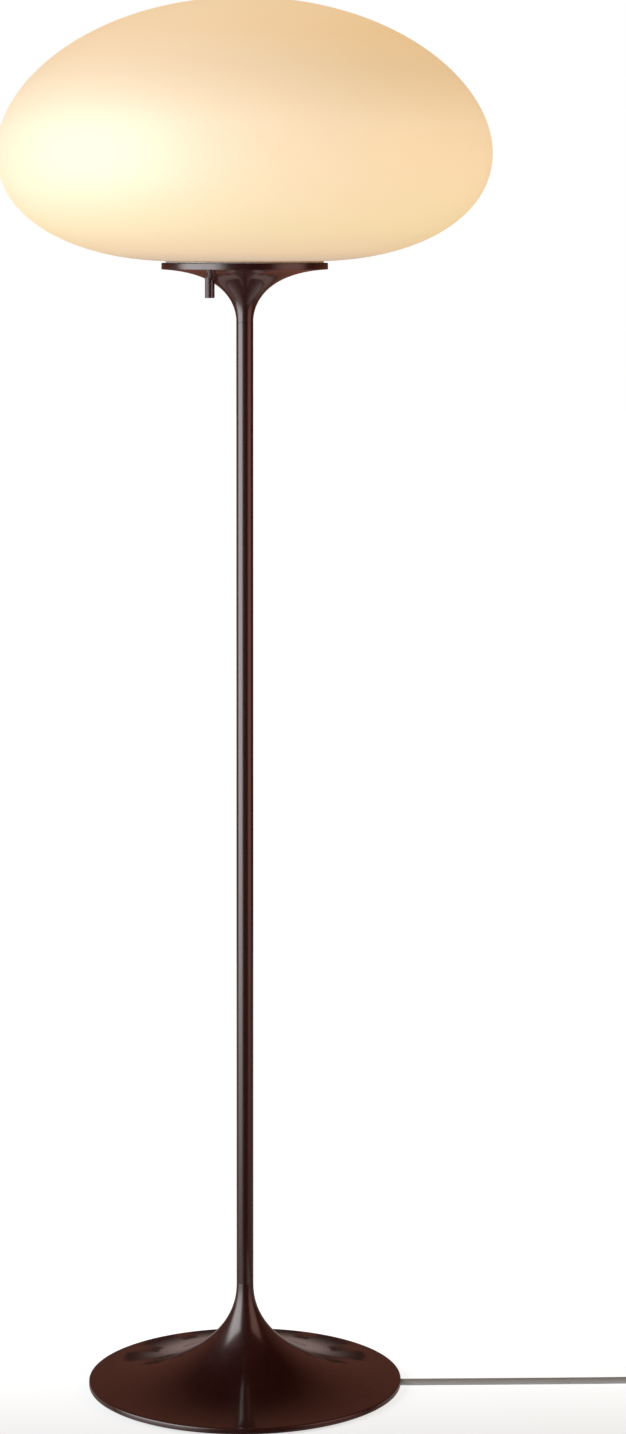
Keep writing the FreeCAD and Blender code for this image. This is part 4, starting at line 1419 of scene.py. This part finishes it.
@dataclass
class Bulb:
    """Screw-in bulb: threaded cap, driver case and frosted globe."""

    pitch: float = 0.0036
    crest: float = 0.0132
    root: float = 0.01255
    steps: int = 48
    rounds: int = 6
    points_per_round: int = 8
    globe_steps: int = 28

    def build(self) -> None:
        """Makes the cap, the case and the globe."""
        self.cap()
        self.case()
        self.globe()

    def cap(self) -> None:
        """Makes the cap, its thread one true helix."""
        low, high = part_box("bulb_cap")
        maker = Maker("bulb_thread")
        made = maker.mesh
        points = []
        for index in range((self.rounds + 2) * self.points_per_round + 1):
            share = index / self.points_per_round
            radius = self.root + (self.crest - self.root) * (0.5 - 0.5 * math.cos(FULL_TURN * share))
            points.append(made.verts.new((radius, 0.0, low.z + (share - 2) * self.pitch)))
        chained(made, points)
        spun(made, self.steps, rise=self.pitch / self.steps)
        bmesh.ops.remove_doubles(made, verts=made.verts, dist=1e-6)
        for height, side in ((low.z + 0.0008, 1), (high.z - 0.0025, -1)):
            geometry = made.verts[:] + made.edges[:] + made.faces[:]
            bmesh.ops.bisect_plane(made, geom=geometry, dist=MERGE, plane_co=(0, 0, height),
                                   plane_no=(0, 0, side), clear_inner=True)
        maker.close()
        skirt = Section(0.0, high.z - 0.0026).to(self.root, high.z - 0.0026).to(self.crest, high.z - 0.0015, 0.0003)
        skirt.to(self.crest, high.z, 0.0002).to(0.0, high.z)
        maker.turn(skirt, 64)
        foot = Section(0.0, low.z).to(0.0114, low.z, 0.0003).to(self.root, low.z + 0.0009).to(0.0, low.z + 0.0009)
        maker.turn(foot, 64)
        piece = maker.done()
        settle(piece, Body.BULB, Slot.CAP, "bulb_cap")

    def case(self) -> None:
        """Makes the case between cap and globe, with a shadow gap under the globe."""
        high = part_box("bulb_collar")[1]
        section = Section(0.0, 0.9526).to(0.0132, 0.9526, 0.0003).to(0.0136, 0.9585)
        section.curve((0.0142, 0.968), (0.023, 0.979), (high.x, high.z - 0.0006), 24)
        section.to(high.x - 0.0006, high.z - 0.0004).to(high.x - 0.0006, high.z).to(0.0, high.z)
        lathed("bulb_case", section, 80, Body.BULB, Slot.FROST, "bulb_collar", DRIVER_CASE)

    def globe(self) -> None:
        """Makes the globe."""
        low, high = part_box("bulb_globe")
        radius = high.x
        centre = high.z - radius
        start = math.asin((low.z - centre) / radius)
        section = Section(0.0, low.z)
        for index in range(self.globe_steps + 1):
            angle = start + (math.pi / 2 - start) * index / self.globe_steps
            section.to(max(radius * math.cos(angle), 0.0), centre + radius * math.sin(angle))
        section.corners[-1] = (0.0, high.z, 0.0)
        lathed("bulb_frosted", section, 80, Body.BULB, Slot.FROST, "bulb_globe")


# ---------------------------------------------------------------- pieces kept from the frame


def dress_frame() -> None:
    """Gives every node that is still shown its slot's finish."""
    slots = {part["node"]: Slot(part["material_slot"]) for part in frame["record"]["subparts"]}
    for name, node in frame["nodes"].items():
        if node.hide_render:
            continue
        for place in node.material_slots:
            place.material = FINISHES[slots[name]].material()
        log.info("%s keeps its shape and takes %s", name, FINISHES[slots[name]].name)


# ---------------------------------------------------------------- studio


@dataclass
class Card:
    """Glowing card that only reflections see: a stretch of an upright cylinder round the lamp.

    Its azimuths are degrees from the front, towards +X.
    """

    name: str
    first: float
    last: float
    distance: float
    bottom: float
    top: float
    glow: float
    side_fade: float
    bottom_fade: float
    top_fade: float
    colour: Colour = (1.0, 1.0, 1.0)

    def build(self) -> None:
        """Makes the card."""
        maker = Maker(self.name)
        mesh = maker.mesh
        start = math.radians(self.first - 90)
        foot = mesh.verts.new((self.distance * math.cos(start), self.distance * math.sin(start), self.bottom))
        head = mesh.verts.new((foot.co.x, foot.co.y, self.top))
        mesh.edges.new((foot, head))
        spun(mesh, 48, math.radians(self.last - self.first))
        card = maker.done()
        card.data.materials.append(self.light())
        reflected_only(card)

    def light(self) -> bpy.types.Material:
        """Makes the card's glow, faded at its edges.

        Returns:
            The material.
        """
        shader = Shader(self.name)
        place = shader.node("SeparateXYZ", {"Vector": shader.place}).outputs
        ahead = shader.times(place["Y"], -1.0)
        turn = shader.times(shader.maths("ARCTAN2", place["X"], ahead), 180 / math.pi)
        if self.last > 180:
            turn = shader.maths("WRAP", turn, 360.0)
            turn.node.inputs[2].default_value = 0.0
        fades = (
            shader.between(turn, 0.0, 1.0, self.first, self.first + self.side_fade, True),
            shader.between(turn, 1.0, 0.0, self.last - self.side_fade, self.last, True),
            shader.between(place["Z"], 0.0, 1.0, self.bottom, self.bottom + self.bottom_fade, True),
            shader.between(place["Z"], 1.0, 0.0, self.top - self.top_fade, self.top, True),
        )
        strength = self.glow
        for fade in fades:
            strength = shader.times(fade, strength)
        return glowing(shader, self.colour, strength)


def glowing(shader: Shader, colour: Colour, strength: object) -> bpy.types.Material:
    """Turns a shader into plain light.

    Args:
        shader: The shader.
        colour: The light's colour.
        strength: Its strength, a number or socket.

    Returns:
        The material.
    """
    light = shader.node("Emission", {"Color": (*colour, 1.0), "Strength": strength})
    output = shader.tree.nodes["Material Output"]
    shader.tree.links.new(light.outputs["Emission"], output.inputs["Surface"])
    return shader.material


def reflected_only(thing: bpy.types.Object) -> None:
    """Hides a stage object from everything but reflections.

    Args:
        thing: The object.
    """
    thing.visible_camera = False
    thing.visible_diffuse = False
    thing.visible_shadow = False
    thing.visible_transmission = False


@dataclass
class Studio:
    """Pale floor, white surround, soft lights and the cards that the lacquer mirrors."""

    floor_size: float = 30.0
    floor_colour: Colour = (0.5, 0.52, 0.56)
    floor_glow: Span = (0.645, 1.02)
    floor_fade: Span = (-0.14, 0.16)
    ambient: float = 0.10
    under_r: float = 1.15
    under_depth: float = 0.46
    under_colour: Colour = (1.0, 0.82, 0.78)
    under_glow: Span = (0.03, 0.62)
    under_fade: Span = (0.15, 0.8)
    aim: tuple[float, float, float] = (0.0, 0.0, 0.75)

    def build(self) -> None:
        """Makes the studio."""
        scene = bpy.context.scene
        scene.view_settings.view_transform = "Standard"
        scene.view_settings.look = "None"
        self.surround(scene)
        self.floor()
        self.under_card()
        for card in (
            Card("left_card", first=-108.0, last=-20.0, distance=1.2, bottom=-0.7, top=2.1, glow=4.1,
                 side_fade=26.0, bottom_fade=1.15, top_fade=0.7),
            Card("right_card", first=32.0, last=98.0, distance=1.2, bottom=-0.7, top=2.0, glow=1.3,
                 side_fade=22.0, bottom_fade=1.15, top_fade=0.7, colour=(1.0, 0.54, 0.45)),
            Card("back_card", first=100.0, last=260.0, distance=1.25, bottom=0.05, top=1.5, glow=0.17,
                 side_fade=22.0, bottom_fade=0.2, top_fade=0.9, colour=(1.0, 0.36, 0.24)),
            Card("low_back_card", first=96.0, last=264.0, distance=1.25, bottom=-0.5, top=0.25, glow=0.30,
                 side_fade=20.0, bottom_fade=0.1, top_fade=0.3, colour=(1.0, 0.72, 0.66)),
        ):
            card.build()
        self.lamp("key", (-1.5, -1.3, 1.05), 1.3, 25.0, (1.0, 0.98, 0.95))
        self.lamp("fill", (1.95, -0.7, 1.2), 1.2, 12.0, (1.0, 0.66, 0.22))

    def surround(self, scene: bpy.types.Scene) -> None:
        """Makes the white surround, which lights softly and isn't mirrored.

        Args:
            scene: The scene.
        """
        world = bpy.data.worlds.new("surround")
        world.use_nodes = True
        nodes = world.node_tree.nodes
        background = nodes["Background"]
        seen = nodes.new("ShaderNodeLightPath").outputs["Is Camera Ray"]
        strength = nodes.new("ShaderNodeMapRange")
        strength.inputs["To Min"].default_value = self.ambient
        strength.inputs["To Max"].default_value = 1.0
        world.node_tree.links.new(seen, strength.inputs["Value"])
        world.node_tree.links.new(strength.outputs["Result"], background.inputs["Strength"])
        background.inputs["Color"].default_value = (1.0, 1.0, 1.0, 1.0)
        world.cycles_visibility.glossy = False
        scene.world = world

    def floor(self) -> None:
        """Makes the pale floor, which glows to white behind the lamp and is a little darker towards the camera."""
        maker = Maker("floor")
        bmesh.ops.create_grid(maker.mesh, x_segments=1, y_segments=1, size=self.floor_size / 2)
        floor = maker.done()
        shader = Shader("pale_floor")
        shader.paint("Base Color", (*self.floor_colour, 1.0))
        shader.paint("Roughness", 1.0)
        shader.paint("Specular IOR Level", 0.0)
        shader.paint("Emission Color", (1.0, 1.0, 1.0, 1.0))
        shader.paint("Emission Strength", shader.between(shader.axis("Y"), *self.floor_glow, *self.floor_fade))
        floor.data.materials.append(shader.material)
        floor.visible_glossy = False

    def under_card(self) -> None:
        """Makes the card that the undersides mirror: below the floor, and brighter away from the middle."""
        maker = Maker("under_card")
        bmesh.ops.create_circle(maker.mesh, cap_ends=True, segments=96, radius=self.under_r,
                                matrix=Matrix.Translation((0.0, 0.0, -self.under_depth)))
        card = maker.done()
        shader = Shader("under_card")
        sideways = shader.maths("ABSOLUTE", shader.axis("X"))
        strength = shader.between(sideways, *self.under_glow, *self.under_fade, True)
        card.data.materials.append(glowing(shader, self.under_colour, strength))
        reflected_only(card)

    def lamp(self, name: str, place: tuple[float, float, float], size: float, power: float, colour: Colour) -> None:
        """Makes a square softbox that looks at the lamp's middle.

        Args:
            name: Its name.
            place: Where it hangs.
            size: Its width and height.
            power: Its power in watts.
            colour: Its colour.
        """
        data = bpy.data.lights.new(name, "AREA")
        data.size = size
        data.energy = power
        data.color = colour
        light = bpy.data.objects.new(name, data)
        light.location = place
        light.rotation_euler = (Vector(self.aim) - Vector(place)).to_track_quat("-Z", "Y").to_euler()
        light.visible_camera = False
        light.visible_glossy = False
        bpy.context.scene.collection.objects.link(light)


def main() -> None:
    """Builds the lamp round its frame, then its studio."""
    logging.basicConfig(level=logging.INFO, format="%(name)s: %(message)s")
    PhotoCamera().build()
    cord = Cord()
    cord.build([CordTie().build(), *Plug().build()])
    Base().build(cord)
    Stem().build()
    Head().build()
    Shade().build()
    Lampholder().build()
    Bulb().build()
    dress_frame()
    Studio().build()


if __name__ == "__main__":
    main()
